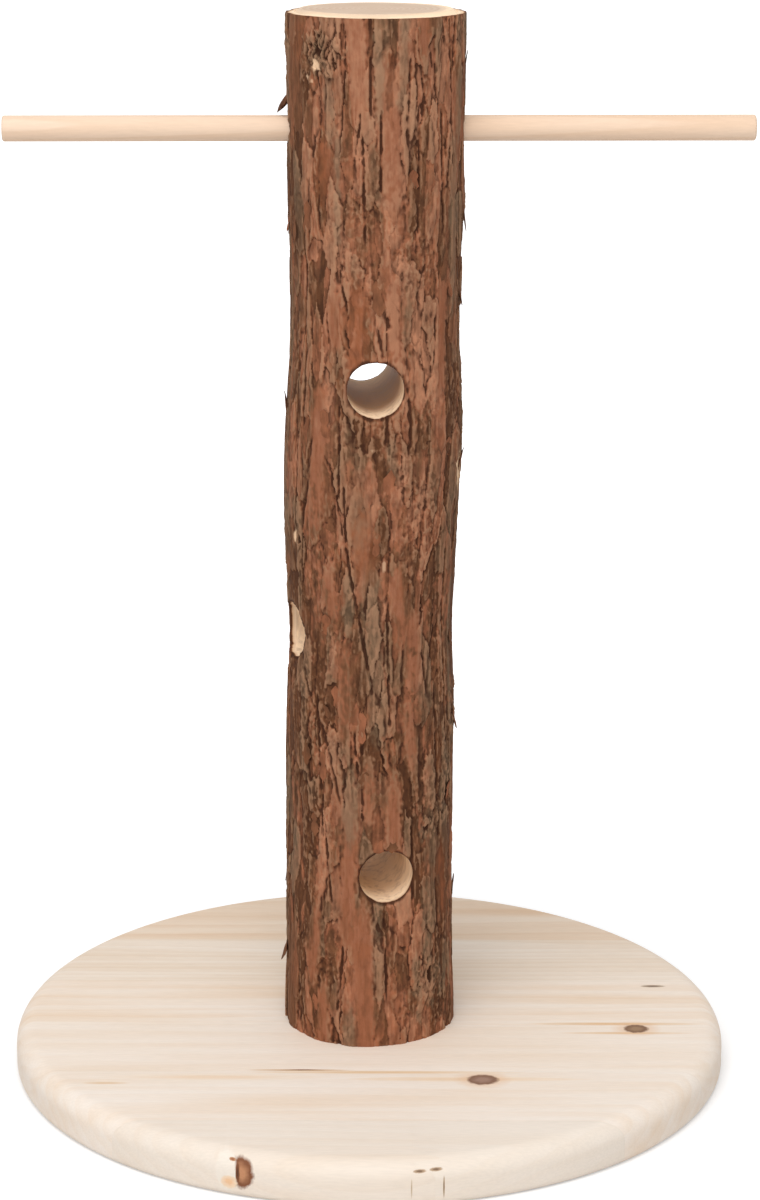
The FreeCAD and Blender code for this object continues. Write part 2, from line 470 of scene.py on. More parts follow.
@dataclass(frozen=True)
class LogShape:
    """Sizes of the log: a bent, swelling round whose radius is taken over the bark's ridges."""

    board_top: float
    height: float = 412.0
    bark_height: float = 411.2
    radius: float = 34.0
    bark: float = 3.4
    swellings: tuple = (
        Swelling(0.0, 1.0, 26.0),
        Swelling(168.0, -1.0, 24.0),
        Swelling(236.0, 1.2, 38.0),
        Swelling(292.0, -0.5, 28.0),
        Swelling(400.0, 0.8, 55.0),
    )
    crook_shift: float = 2.0
    crook_height: float = 235.0
    crook_length: float = 35.0
    cut_start: float = 376.0
    cut_rise: float = 0.4
    cut_fall: float = 1.6
    feeding_bores: tuple = (
        Bore(72.0, 12.5, 0.0, 22.0),
        Bore(168.5, -73.0, 0.0, 22.0),
        Bore(271.0, 5.0, -2.4, 22.0),
    )
    perch_bore: Bore = Bore(367.0, 91.3, 0.0, 10.12)
    drill_reach: float = 1.3
    drill_sides: int = 128

    @property
    def girth(self) -> float:
        """Length once round the log at its plain radius."""
        return TURN * self.radius

    @property
    def bores(self) -> tuple:
        """Every hole through the log."""
        return self.feeding_bores + (self.perch_bore,)

    def ridge_radius(self, up: Array) -> Array:
        """Plain radius plus a bell for each swelling, at heights above the board."""
        return self.radius + sum(
            bell.gain * np.exp(-((up - bell.height) / bell.spread) ** 2) for bell in self.swellings
        )

    def middle(self, up: Array) -> Array:
        """Sideways shift of the log's middle: half a step of tanh, at heights above the board."""
        return self.crook_shift * 0.5 * (1.0 + np.tanh((up - self.crook_height) / self.crook_length))

    def around(self, angle: Array, up: Array, radius: Array) -> Array:
        """Points beside the log's bent middle: the middle plus the radius along each angle.

        Args:
            angle: Angles round the log.
            up: Heights above the board, before the slanting cut.
            radius: Distances from the middle.

        Returns:
            X, Y and Z of each point.
        """
        x = self.middle(up) + radius * np.cos(angle)
        y = radius * np.sin(angle)
        return np.stack([x, y, self.board_top + up + self.cut_offset(up, y)], axis=-1)

    def cut_offset(self, up: Array, back: Array) -> Array:
        """Height that the slanting saw cut adds: it falls to the back and fades out down the log."""
        return smooth(self.cut_start, self.height, up) * (self.cut_rise - self.cut_fall * back / self.radius)

    def up_of(self, points: Array) -> Array:
        """Heights above the board before the slanting cut, by four rounds of taking its offset away.

        Args:
            points: One row of X, Y and Z for each point.

        Returns:
            One height for each point.
        """
        lifted = points[:, 2] - self.board_top
        up = lifted
        for _ in range(4):
            up = lifted - self.cut_offset(up, points[:, 1])
        return up

    def inside(self, bore: Bore) -> Array:
        """Point on the log's middle at the height of a bore."""
        return np.array([self.middle(np.float64(bore.height)), 0.0, self.board_top + bore.height])

    def drills(self) -> Mesh:
        """Lay a smooth round rod along each bore, longer than the log is thick.

        Returns:
            One mesh of all the rods.
        """
        reach = self.drill_reach * self.radius
        rods = []
        for bore in self.bores:
            outline = np.array([[1.0, 0.0], [1.0, 1.0]]) * [bore.diameter / 2, 2 * reach]
            rod = turned_mesh("rod", outline, self.drill_sides)
            start = bore.across() * bore.shift - bore.outward() * reach + self.inside(bore)
            lay_along(rod, bore.outward(), start)
            rods.append(rod)
        return merged("drills", rods)


# The bark


@dataclass(frozen=True)
class Spot:
    """An oval on the bark: arc right of the front line, height, half width, half height, and an amount.

    The amount is the size of a knot's chunks, the depth of a pit or a chip, or the change of tone of a
    lighter or darker area, which on the flanks is painted shade.
    """

    arc: float
    up: float
    wide: float
    tall: float
    amount: float


@dataclass(frozen=True)
class BarkMarks:
    """Marks that can be told apart on the front: arcs right of the front line and heights above the board.

    Each strip is a row of arc and height of its upper end, arc and height of its lower end, and half width.
    """

    strips: tuple = (
        (Strip.RED, (
            (-8, 412, -6, 384, 4.7), (4, 381, 5, 362, 5.5), (19, 411, 19, 403, 2.6), (5, 371, 7, 354, 5.2),
            (30, 307, 29, 277, 3.2), (7, 304, 9, 285, 2.9), (-16, 304, -16, 292, 3.2),
            (-23, 262, -23, 224, 4.4), (11, 190, 13, 174, 3.7), (18, 172, 18, 160, 4.4),
            (-11, 160, -10, 138, 3.7), (-17, 195, -16, 185, 3.0), (-8, 93, -9, 50, 4.3),
            (-3, 50, -1, 3, 4.7), (10, 106, 10, 85, 3.9), (-24, 47, -25, 34, 3.9), (0, 115, 0, 101, 3.0),
            (16, 137, 18, 123, 3.4), (-19, 19, -19, 5, 3.4),
        )),
        (Strip.BROWN, (
            (-11, 383, -10, 375, 1.8), (-38, 350, -39, 320, 1.8), (0, 355, -1, 332, 3.2),
            (-7, 252, -6, 226, 3.7), (17, 247, 17, 237, 3.0), (15, 205, 16, 189, 3.3),
            (-26, 98, -28, 51, 4.3), (-16, 43, -15, 21, 2.6), (48, 411, 51, 378, 4.0),
            (48, 330, 49, 262, 3.0), (46, 215, 47, 140, 3.2), (-47, 110, -50, 30, 4.5),
        )),
        (Strip.GREY, (
            (1, 404, 1, 379, 1.8), (11, 411, 10, 383, 2.1), (-19, 392, -18, 372, 2.4),
            (39, 407, 39, 370, 2.6), (-15, 366, -15, 330, 1.4), (35, 361, 37, 306, 2.9),
            (7, 246, 8, 240, 2.2), (-8, 194, -9, 179, 2.6), (0, 192, 4, 139, 4.4), (42, 186, 42, 131, 1.6),
            (-5, 220, -5, 216, 4.4), (3, 58, 4, 26, 2.4), (26, 58, 26, 37, 3.4), (19.5, 34, 20.5, 23, 1.5),
            (22, 22, 22, 12, 1.8), (34, 30, 34.5, 19, 1.2), (-8, 110, -8, 95, 3.4), (-8, 8, -8, 5, 3.0),
            (-46, 330, -47, 180, 2.0),
        )),
        (Strip.ORANGE, (
            (6, 395, 5, 383, 1.6), (-22, 360, -22, 350, 3.2), (-7, 301, -7, 283, 5.0),
            (-4, 213, -2, 206, 5.2), (35, 74, 38, 57, 3.0), (51, 362, 52, 358, 2.5),
        )),
        (Strip.CRUMB, (
            (17, 324, 17, 318, 10.7), (-9, 318, -5, 312, 7.9), (20, 225, 21, 212, 11.1),
            (-29, 389, -27, 384, 4.0), (28, 20, 30, 8, 6.0),
        )),
        (Strip.SEAM, (
            (-2, 397, -2, 378, 0.4), (13, 395, 12, 370, 0.5), (32, 408, 35, 358, 0.5),
            (22, 397, 26, 380, 0.4), (-16, 410, -16, 406, 0.5), (-6, 374, -8, 361, 0.5),
            (16, 370, 24, 370, 0.4), (-24, 390, -23, 386, 0.6), (-5, 367, -4, 329, 0.6),
            (12, 375, 13, 361, 0.7), (17, 370, 17, 335, 0.7), (28, 374, 30, 332, 0.9),
            (41, 361, 44, 297, 1.0), (-32, 336, -31, 257, 0.9), (-14, 313, -11, 303, 0.9),
            (-20, 297, -18, 286, 0.6), (26, 300, 25, 282, 0.6), (2, 375, 2, 351, 0.6),
            (-10, 208, 1, 150, 1.0), (7, 180, 8, 138, 0.7), (-32, 160, -25, 141, 0.9),
            (35, 204, 37, 133, 0.9), (-14, 263, -13, 230, 0.7), (-34, 260, -35, 215, 0.9),
            (-11, 230, -10, 208, 0.7), (-23, 144, -20, 91, 0.9), (-6, 130, -5, 118, 0.8),
            (-40, 86, -49, 39, 1.3), (-11, 40, -13, 19, 0.8), (6, 55, 7, 25, 0.8), (-18, 84, -16, 63, 0.9),
            (18, 92, 19, 58, 0.8), (30, 143, 33, 88, 1.0), (24, 32, 26, 19, 1.1), (29, 34, 30, 22, 1.3),
        )),
    )
    knots: tuple = (
        Spot(-22.4, 398.5, 9.2, 8.4, 1.0),
        Spot(26.1, 90.0, 4.6, 5.2, 0.6),
        Spot(27.0, 25.0, 7.5, 11.5, 0.45),
        Spot(95.0, 318.0, 6.5, 7.5, 0.9),
    )
    pits: tuple = (
        Spot(-23.8, 398.8, 1.6, 1.9, 2.0),
        Spot(-32.7, 208.1, 1.2, 1.7, 1.6),
        Spot(25.5, 90.5, 1.2, 1.6, 1.2),
        Spot(27.5, 27.0, 1.4, 4.0, 2.0),
        Spot(-52.5, 26.5, 3.0, 2.4, 2.2),
        Spot(95.0, 318.0, 1.6, 2.0, 1.8),
    )
    chips: tuple = (
        Spot(-24.2, 394.3, 1.9, 2.1, 0.3),
        Spot(-28.9, 389.6, 0.7, 0.9, 0.1),
        Spot(-26.6, 388.0, 0.6, 0.8, 0.1),
        Spot(-36.3, 208.9, 1.5, 3.0, 0.6),
        Spot(-0.4, 247.9, 0.6, 0.9, 0.0),
        Spot(6.3, 234.8, 0.7, 1.5, 0.0),
        Spot(5.3, 201.2, 0.8, 2.2, 0.0),
        Spot(47.6, 233.0, 4.4, 7.5, 0.9),
        Spot(53.0, 375.0, 2.6, 2.0, 0.9),
    )
    # Lighter or darker areas of the bark's tone. The first two darken the flanks, which is painted shade; the
    # others lighten or darken broad areas of the front, and the last darkens the knot's rosette.
    tone_shifts_and_flank_shade: tuple = (
        Spot(-31.0, 155.0, 14.0, 82.0, -0.52),
        Spot(33.0, 100.0, 13.0, 110.0, -0.56),
        Spot(1.0, 150.0, 15.0, 46.0, -0.4),
        Spot(5.0, 312.0, 11.0, 42.0, 0.36),
        Spot(17.5, 275.0, 9.0, 20.0, 0.42),
        Spot(17.0, 218.0, 11.0, 38.0, 0.26),
        Spot(-4.0, 229.0, 9.0, 20.0, 0.44),
        Spot(0.0, 395.0, 16.0, 24.0, 0.12),
        Spot(-22.4, 399.0, 10.5, 9.5, -0.3),
    )


@dataclass(frozen=True)
class Plates:
    """One layer of plates: distance to the edge, place across the plate, a random lift and tone for each."""

    edge: Array
    across: Array
    lift: Array
    tone: Array


@dataclass(frozen=True)
class Skin:
    """What the steps of the bark share: its plates, the strips' masks, and how each place has aged.

    Calm places are smooth plates beside the front, still ones carry no small flakes, torn ones carry many,
    and crumbly ones are broken into crumbs. Furrows are one at their deepest.
    """

    plate: Plates
    flake: Plates
    sliver: Plates
    scale: Plates
    masks: dict
    crumbly: Array
    calm: Array
    still: Array
    torn: Array
    furrow: Array


@dataclass
class BarkRelief:
    """Height and colour fields of the bark on a grid that closes round the log.

    Fields of noise and of random plates are summed in millimetres of arc and height, so that plates, flakes,
    fibres and crumbs keep their real sizes. A row of noise is a weight, a cell's width and height, and a
    seed. A row of cells is a cell's width and height, and a seed.
    """

    log: LogShape
    marks: BarkMarks = BarkMarks()
    columns: int = 480
    rows: int = 689
    seed: int = 41
    first_angle: float = -0.75 * math.pi
    rag_noise: tuple = ((0.8, 2.6, 6.0, 90), (0.7, 1.2, 2.2, 91))
    drift_noise: tuple = ((2.6, 40.0, 80.0, 1), (1.0, 12.0, 26.0, 2), (0.5, 3.0, 5.0, 3))
    end_noise: tuple = ((6.0, 22.0, 45.0, 4), (3.4, 4.0, 8.0, 5), (1.6, 1.8, 3.0, 6))
    crumb_noise: tuple = ((1.0, 30.0, 40.0, 10), (0.35, 9.0, 12.0, 11))
    grit_noise: tuple = ((0.3, 2.0, 2.8, 16), (0.2, 1.0, 1.3, 17))
    fibre_noise: tuple = ((0.1, 0.95, 10.0, 14), (0.08, 0.95, 3.5, 15))
    break_noise: tuple = ((1.0, 2.5, 9.0, 22), (0.5, 1.3, 3.0, 23))
    mottle_noise: tuple = ((0.16, 3.0, 9.0, 24), (0.14, 1.3, 3.0, 25), (0.1, 0.95, 1.3, 26))
    noise_gain: float = 1.5
    noise_margin: int = 3
    plate_margin: int = 4
    plate_cells: tuple = ((9.5, 48.0, 7), (4.8, 19.0, 8), (2.4, 8.0, 9))
    scale_cell: tuple = (1.5, 3.4, 21)
    chunk_cell: tuple = (2.5, 5.6, 28)
    torn_cell: tuple = (18.0, 50.0, 12)
    seam_cell: tuple = (26.0, 150.0, 13)
    wave_cell: tuple = (26.0, 60.0, 18)
    grey_cell: tuple = (14.0, 60.0, 19)
    mouth_cell: tuple = (3.0, 4.0, 20)
    fresh_cell: tuple = (2.2, 4.0, 27)
    plate_lift: float = 0.7
    plate_tilt: float = 0.5
    flake_lift: float = 0.8
    flake_tilt: float = 0.4
    sliver_lift: float = 0.4
    scale_lift: float = 0.34
    furrow_depth: float = 1.1
    crack_depth: float = 0.3
    wave_lift: float = 0.3
    red_lift: float = 0.3
    grey_lift: float = 0.25
    fresh_depth: float = 0.45
    chunk_lift: float = 1.7
    chunk_base: float = 0.5
    chunk_groove: float = 0.9
    mouth_depth: float = 0.6
    mouth_width: float = 1.8
    mouth_inside: float = 4.0
    # Blurs that find hollows and pits for the painted shade.
    hollow_blur: tuple = (2.6, 5.0)
    pit_blur: tuple = (0.8, 1.1)
    front_arc: float = 24.0
    side_arc: float = 40.0
    # Painted shade on the flanks: arcs from the front line where it rises and where it fades, and how much it
    # darkens the right and the left side.
    flank_start: tuple = (24.0, 46.0)
    flank_end: tuple = (62.0, 80.0)
    right_flank_shade: float = 0.2
    left_flank_shade: float = 0.32
    # Painted light on the upper log: heights over which it rises, and how much it lightens.
    crown: tuple = (280.0, 390.0)
    crown_painted_light: float = 0.1
    plate_taper: float = 3.0
    seam_taper: float = 6.0
    crumb_taper: float = 1.3
    seam_width: float = 0.5
    sunk: float = 0.35
    lowest: float = -2.6
    highest: float = 0.8
    angle: Array = field(init=False)
    around: Array = field(init=False)
    up: Array = field(init=False)
    rag: Array = field(init=False)
    height: Array = field(init=False)
    fields: dict = field(init=False)

    def __post_init__(self) -> None:
        """Lay out the grid and work out every field on it."""
        angle = self.first_angle + np.arange(self.columns) * TURN / self.columns
        up = np.linspace(0.0, self.log.bark_height, self.rows)
        self.angle, self.up = np.meshgrid(angle, up)
        self.around = (self.angle % TURN) * self.log.radius
        self.rag = self.mixed(*self.rag_noise)
        self.compose()

    def noise(self, wide: float, tall: float, seed: int, around: Array | None = None) -> Array:
        """Gradient noise: random slopes at cells' corners, blended by quintic weights, closed round the log.

        Args:
            wide: Width of a cell.
            tall: Height of a cell.
            seed: Number that picks the pattern.
            around: Moved places round the log, if they are moved.

        Returns:
            Values from about -1 to 1 on the grid.
        """
        around = self.around if around is None else around
        count = max(3, round(self.log.girth / wide))
        rows = int(self.log.height / tall) + 2 * self.noise_margin + 2
        slope = np.random.default_rng([self.seed, seed]).uniform(0.0, TURN, (rows, count))
        a = around / self.log.girth * count
        b = np.clip(self.up / tall + self.noise_margin, 0.0, rows - 2 - INSET)
        low_a, low_b = np.floor(a).astype(int), np.floor(b).astype(int)
        part_a, part_b = a - low_a, b - low_b
        fade_a, fade_b = (part ** 3 * (part * (6.0 * part - 15.0) + 10.0) for part in (part_a, part_b))
        total = np.zeros_like(a)
        for step_a, weight_a in ((0, 1.0 - fade_a), (1, fade_a)):
            for step_b, weight_b in ((0, 1.0 - fade_b), (1, fade_b)):
                corner = slope[low_b + step_b, (low_a + step_a) % count]
                rise = np.cos(corner) * (part_a - step_a) + np.sin(corner) * (part_b - step_b)
                total += weight_a * weight_b * rise
        return self.noise_gain * total

    def mixed(self, *layers: tuple) -> Array:
        """Weighted sum of noise layers."""
        return sum(weight * self.noise(*cell) for weight, *cell in layers)

    def plates(self, around: Array, up: Array, wide: float, tall: float, seed: int) -> Plates:
        """Divide the surface into long plates: each place belongs to the nearest of one point in each cell.

        Args:
            around: Moved places round the log.
            up: Moved places up the log.
            wide: Width of a cell.
            tall: Height of a cell.
            seed: Number that picks the pattern.

        Returns:
            The plates' fields.
        """
        count = max(3, round(self.log.girth / wide))
        rows = int(self.log.height / tall) + 2 * self.plate_margin + 2
        spot_a, spot_b, first, second = np.random.default_rng([self.seed, seed]).random((4, rows, count))
        a = around / self.log.girth * count
        b = np.clip(up / tall + self.plate_margin, 1.0, rows - 2 - INSET)
        low_a, low_b = np.floor(a).astype(int), np.floor(b).astype(int)
        nearest = np.full(a.shape, np.inf)
        next_nearest = nearest.copy()
        owner_a, owner_b, offset = np.zeros_like(low_a), np.zeros_like(low_b), np.zeros_like(a)
        for step_a in (-1, 0, 1):
            for step_b in (-1, 0, 1):
                cell_a, cell_b = (low_a + step_a) % count, low_b + step_b
                gap_a = a - (low_a + step_a) - spot_a[cell_b, cell_a]
                gap_b = b - cell_b - spot_b[cell_b, cell_a]
                distance = np.hypot(gap_a, gap_b)
                closer = distance < nearest
                next_nearest = np.where(closer, nearest, np.minimum(next_nearest, distance))
                nearest = np.where(closer, distance, nearest)
                owner_a, owner_b = np.where(closer, cell_a, owner_a), np.where(closer, cell_b, owner_b)
                offset = np.where(closer, gap_a, offset)
        edge = 0.5 * (next_nearest - nearest) * wide
        return Plates(edge, offset, first[owner_b, owner_a], second[owner_b, owner_a])

    def blurred(self, values: Array, around: float, up: float) -> Array:
        """Spread values by a bell in both directions, worked out on their waves.

        Args:
            values: Values on the grid.
            around: Width of the bell round the log.
            up: Width of the bell up the log.

        Returns:
            The spread values.
        """
        tall = np.concatenate([values, values[::-1]])
        wave_up = np.fft.fftfreq(len(tall), self.log.bark_height / (self.rows - 1))[:, None]
        wave_around = np.fft.rfftfreq(self.columns, self.log.girth / self.columns)[None, :]
        bell = np.exp(-0.5 * TURN ** 2 * ((around * wave_around) ** 2 + (up * wave_up) ** 2))
        return np.fft.irfft2(np.fft.rfft2(tall) * bell, tall.shape)[:self.rows]

    def arc_from(self, arc: Array) -> Array:
        """Arc from a line right of the front line, the short way round the log."""
        gap = self.angle - FRONT_ANGLE - arc / self.log.radius
        return ((gap + math.pi) % TURN - math.pi) * self.log.radius

    def beside(self) -> Array:
        """Zero on the front, where the marks are chosen, and one on the sides and the back."""
        return smooth(self.front_arc, self.side_arc, np.abs(self.arc_from(0.0)))

    def inside(self, spot: Spot, inner: float, outer: float) -> Array:
        """One inside an oval and zero outside: it falls between two ragged shares of the oval's size."""
        gap = np.hypot(self.arc_from(spot.arc) / spot.wide, (self.up - spot.up) / spot.tall) + 0.5 * self.rag
        return 1.0 - smooth(inner, outer, gap)

    def strip(self, ends: tuple, half: float, taper: float) -> Array:
        """Ragged mask of a strip: one within its half width of a line, with pointed ends.

        Args:
            ends: Arc and height of the upper end, then of the lower end.
            half: Half width.
            taper: How many times longer than wide the pointed ends are.

        Returns:
            The mask on the grid.
        """
        arc, up, end_arc, end_up = ends
        share = np.clip((self.up - up) / min(end_up - up, -1e-6), 0.0, 1.0)
        side = self.arc_from(arc + share * (end_arc - arc))
        past = self.up - (up + share * (end_up - up))
        distance = np.hypot(side, past / taper) + self.rag * min(1.2, 0.3 + 0.4 * half)
        return 1.0 - smooth(0.45 * half, 1.2 * half + 0.3, distance)

    def most(self, kind: Strip, rows: tuple) -> Array:
        """Strongest mask of one kind of strip at each place.

        Args:
            kind: Kind of strip.
            rows: Ends and half width of each strip.

        Returns:
            The mask on the grid.
        """
        taper = {Strip.SEAM: self.seam_taper, Strip.CRUMB: self.crumb_taper}.get(kind, self.plate_taper)
        narrow = self.seam_width if kind is Strip.SEAM else 1.0
        total = np.zeros_like(self.up)
        for *ends, half in rows:
            total = np.maximum(total, self.strip(ends, narrow * half, taper))
        return total

    def bore_gap(self, bore: Bore) -> Array:
        """Distance of each place from a bore's wall: distance from its axis less its radius.

        Args:
            bore: The bore.

        Returns:
            Distances on the grid, below zero inside the bore.
        """
        radius = self.log.ridge_radius(self.up)
        across_x, across_y, _ = bore.across()
        x = radius * np.cos(self.angle) - bore.shift * across_x
        y = radius * np.sin(self.angle) - bore.shift * across_y
        return np.hypot(x * across_x + y * across_y, self.up - bore.height) - 0.5 * bore.diameter

    def compose(self) -> None:
        """Work out the relief, and the fields that colour it."""
        skin = self.skin()
        height, frayed, hole = self.with_knots(self.layered(skin))
        height, chip = self.with_chips(height)
        height = self.broken_mouths(height)
        self.height = np.clip(height - self.sunk, self.lowest, self.highest)
        self.fields = {
            "tone": self.tone(skin),
            "painted_relief_shading": self.painted_relief_shading(skin, hole),
            "weather": np.maximum(self.weather(skin), 0.7 * frayed),
            "chip": chip,
            "fresh": skin.masks[Strip.ORANGE] * (0.7 + 0.6 * self.noise(*self.fresh_cell)),
            "calm": skin.still,
        }

    def skin(self) -> Skin:
        """Lay out plates, flakes, slivers and scales, the strips' masks and the furrows between plates.

        Returns:
            The fields that the later steps share.
        """
        drift, ends = self.mixed(*self.drift_noise), self.mixed(*self.end_noise)
        around, up = self.around + drift + 0.3 * self.rag, self.up + ends
        plate, flake, sliver = (self.plates(around, up, *cell) for cell in self.plate_cells)
        scale = self.plates(self.around + 0.4 * drift, self.up + 0.4 * ends, *self.scale_cell)
        masks = {kind: self.most(kind, rows) for kind, rows in self.marks.strips}
        crumbly = np.maximum(smooth(0.15, 0.6, self.mixed(*self.crumb_noise)), masks[Strip.CRUMB])
        calm = smooth(0.62, 0.74, plate.lift) * (1.0 - crumbly) * self.beside()
        still = np.maximum(np.maximum(masks[Strip.RED], masks[Strip.ORANGE]), 0.8 * calm)
        torn = smooth(-0.3, 0.4, self.noise(*self.torn_cell))
        one_side = smooth(-0.15, 0.25, plate.across * np.sign(plate.tone - 0.4))
        furrow = (1.0 - smooth(0.05, 0.9, plate.edge)) * (0.2 + 0.8 * torn) * one_side
        long_seam = np.abs(self.noise(*self.seam_cell, around))
        furrow = np.maximum(furrow, 0.8 * (1.0 - smooth(0.0, 0.05, long_seam)) * torn)
        broken = smooth(-0.5, 0.35, self.mixed(*self.break_noise))
        furrow = np.maximum(furrow * (1.0 - 0.75 * still), masks[Strip.SEAM]) * (0.25 + 0.75 * broken)
        crumbly = crumbly * (1.0 - 0.8 * still)
        return Skin(plate, flake, sliver, scale, masks, crumbly, calm, still, torn, furrow)

    def layered(self, skin: Skin) -> Array:
        """Sum the relief from long plates down to crumbs, each layer by its lift and its tilt.

        Args:
            skin: Plates, masks and furrows.

        Returns:
            The relief before knots and chips.
        """
        plate, flake, sliver, masks = skin.plate, skin.flake, skin.sliver, skin.masks
        quiet = 1.0 - 0.85 * skin.still
        rough = np.maximum(skin.crumbly, skin.torn)
        height = self.plate_lift * (plate.lift - 0.5) * quiet
        height += self.plate_tilt * (plate.tone - 0.5) * plate.across
        tilt = self.flake_tilt * (flake.tone - 0.5) * flake.across
        height += (self.flake_lift * (flake.lift - 0.5) + tilt) * quiet
        height += self.sliver_lift * (sliver.lift - 0.5) * (0.5 + 0.5 * rough) * quiet
        height += self.scale_lift * (skin.scale.lift - 0.5) * (0.45 + 0.55 * skin.crumbly) * quiet
        cracks = (1.0 - smooth(0.0, 0.45, flake.edge)) * (0.4 + 0.6 * skin.torn) * quiet
        height -= self.furrow_depth * skin.furrow + self.crack_depth * cracks
        height += self.mixed(*self.fibre_noise) * (0.4 + 0.6 * quiet)
        height += skin.crumbly * self.mixed(*self.grit_noise)
        height += self.wave_lift * self.noise(*self.wave_cell)
        height += self.red_lift * masks[Strip.RED] + self.grey_lift * masks[Strip.GREY]
        return height - self.fresh_depth * masks[Strip.ORANGE]

    def with_knots(self, height: Array) -> tuple[Array, Array, Array]:
        """Heap broken chunks round each branch stub and sink the pits beside it.

        Args:
            height: Relief before the knots.

        Returns:
            The relief, the share of each place that belongs to a knot, and the share that is a pit.
        """
        chunk = self.plates(self.around + 1.5 * self.rag, self.up + 2.0 * self.rag, *self.chunk_cell)
        grooves = self.chunk_groove * (1.0 - smooth(0.05, 0.55, chunk.edge))
        heap = self.chunk_lift * chunk.lift - self.chunk_base - grooves
        frayed, hole = np.zeros_like(height), np.zeros_like(height)
        for knot in self.marks.knots:
            inside = self.inside(knot, 0.7, 1.1)
            height = height * (1.0 - 0.8 * inside) + knot.amount * heap * inside
            frayed = np.maximum(frayed, inside)
        for pit in self.marks.pits:
            inside = self.inside(pit, 0.5, 1.15)
            height = height - pit.amount * inside
            hole = np.maximum(hole, inside)
        return height, frayed, hole

    def with_chips(self, height: Array) -> tuple[Array, Array]:
        """Break out the chips that show pale inner bark.

        Args:
            height: Relief before the chips.

        Returns:
            The relief and the share of pale bark.
        """
        pale = np.zeros_like(height)
        for chip in self.marks.chips:
            inside = self.inside(chip, 0.75, 1.05)
            height = height * (1.0 - 0.6 * inside) - chip.amount * inside
            pale = np.maximum(pale, inside * min(1.0, 0.45 + 1.8 * chip.amount))
        return height, pale

    def broken_mouths(self, height: Array) -> Array:
        """Lower the bark's edge round every bore, unevenly.

        Args:
            height: Relief before the bores.

        Returns:
            The relief.
        """
        ragged = np.maximum(0.9 + 0.8 * self.noise(*self.mouth_cell), 0.3)
        for bore in self.log.bores:
            gap = self.bore_gap(bore)
            near = (1.0 - smooth(0.1, ragged * self.mouth_width, gap)) * (gap > -self.mouth_inside)
            height = height - self.mouth_depth * near
        return height

    def weather(self, skin: Skin) -> Array:
        """Share of weathered grey: raised flakes in some patches, and the grey strips.

        Args:
            skin: Plates, masks and furrows.

        Returns:
            The share on the grid.
        """
        grey = smooth(0.45, 0.8, skin.flake.lift) * smooth(-0.35, 0.25, self.noise(*self.grey_cell))
        grey *= (1.0 - skin.still) * (0.5 + 0.5 * self.beside())
        return np.maximum(grey, skin.masks[Strip.GREY] * (0.75 + 0.25 * skin.sliver.tone))

    def painted_relief_shading(self, skin: Skin, hole: Array) -> Array:
        """How far each place lies below what is round it: the blurred relief less the relief, plus furrows,
        pits and rings round the bores. It paints shade into hollows and a highlight onto crests.

        Args:
            skin: Plates, masks and furrows.
            hole: Share of each place that is a pit.

        Returns:
            Values above zero in hollows and below it on crests.
        """
        hollow_shade = self.blurred(self.height, *self.hollow_blur) - self.height
        pit = self.blurred(self.height, *self.pit_blur) - self.height
        # Painted shade: hollows, furrows and pits darken the colour; below zero, on crests, the colour
        # lightens as a painted highlight.
        total = np.clip(0.5 * hollow_shade + 1.2 * pit, -0.5, 1.0) + 0.15 * skin.furrow + 0.5 * hole
        # A darker ring round each bore mouth: the dark broken bark edge, and painted shade under the rim.
        for bore in self.log.bores:
            total += 0.4 * (1.0 - smooth(0.0, self.mouth_width, self.bore_gap(bore) + 0.4 * self.rag))
        return total

    def tone(self, skin: Skin) -> Array:
        """Lightness of the bark: each plate and flake has its own, strips and broad areas shift it, painted
        shade darkens the flanks and painted light brightens the upper log.

        Args:
            skin: Plates, masks and furrows.

        Returns:
            Places on the bark's colour ramp.
        """
        mottle = self.mixed(*self.mottle_noise)
        plates = 0.65 * skin.plate.tone + 0.65 * skin.flake.tone + 0.3 * skin.sliver.tone
        tone = plates + 0.1 * skin.scale.tone - 0.35 + 0.7 * mottle
        tone += (0.62 + 0.4 * mottle - tone) * 0.7 * skin.calm
        for kind, level in ((Strip.RED, 0.68), (Strip.BROWN, 0.15)):
            tone += (level + 0.4 * mottle + 0.12 * (skin.sliver.tone - 0.5) - tone) * 0.88 * skin.masks[kind]
        # Painted shade: the flanks turn darker where the log's sides turn from the light, the left more than
        # the right.
        flank = np.abs(self.arc_from(0.0))
        darker = np.where(self.arc_from(0.0) > 0.0, self.right_flank_shade, self.left_flank_shade)
        tone -= darker * smooth(*self.flank_start, flank) * (1.0 - smooth(*self.flank_end, flank))
        # Painted light: the bark lightens towards the top of the log.
        tone += self.crown_painted_light * smooth(*self.crown, self.up)
        # Lighter and darker areas; those on the flanks are painted shade.
        for area in self.marks.tone_shifts_and_flank_shade:
            tone += area.amount * self.inside(area, 0.4, 1.2)
        return tone

    def sample(self, values: Array, angle: Array, up: Array) -> Array:
        """Read a field between the grid's points, by the nearest four in proportion.

        Args:
            values: A field on the grid, which may hold vectors.
            angle: Angles round the log.
            up: Heights above the board.

        Returns:
            The field at each place.
        """
        a = ((angle - self.first_angle) % TURN) / TURN * self.columns
        b = np.clip(up / self.log.bark_height * (self.rows - 1), 0.0, self.rows - 1 - INSET)
        low_a, low_b = np.floor(a).astype(int), np.floor(b).astype(int)
        shape = a.shape + (1,) * (values.ndim - 2)
        part_a, part_b = (a - low_a).reshape(shape), (b - low_b).reshape(shape)
        left, right = low_a % self.columns, (low_a + 1) % self.columns
        lower, upper = (
            values[row, left] * (1.0 - part_a) + values[row, right] * part_a for row in (low_b, low_b + 1)
        )
        return lower * (1.0 - part_b) + upper * part_b


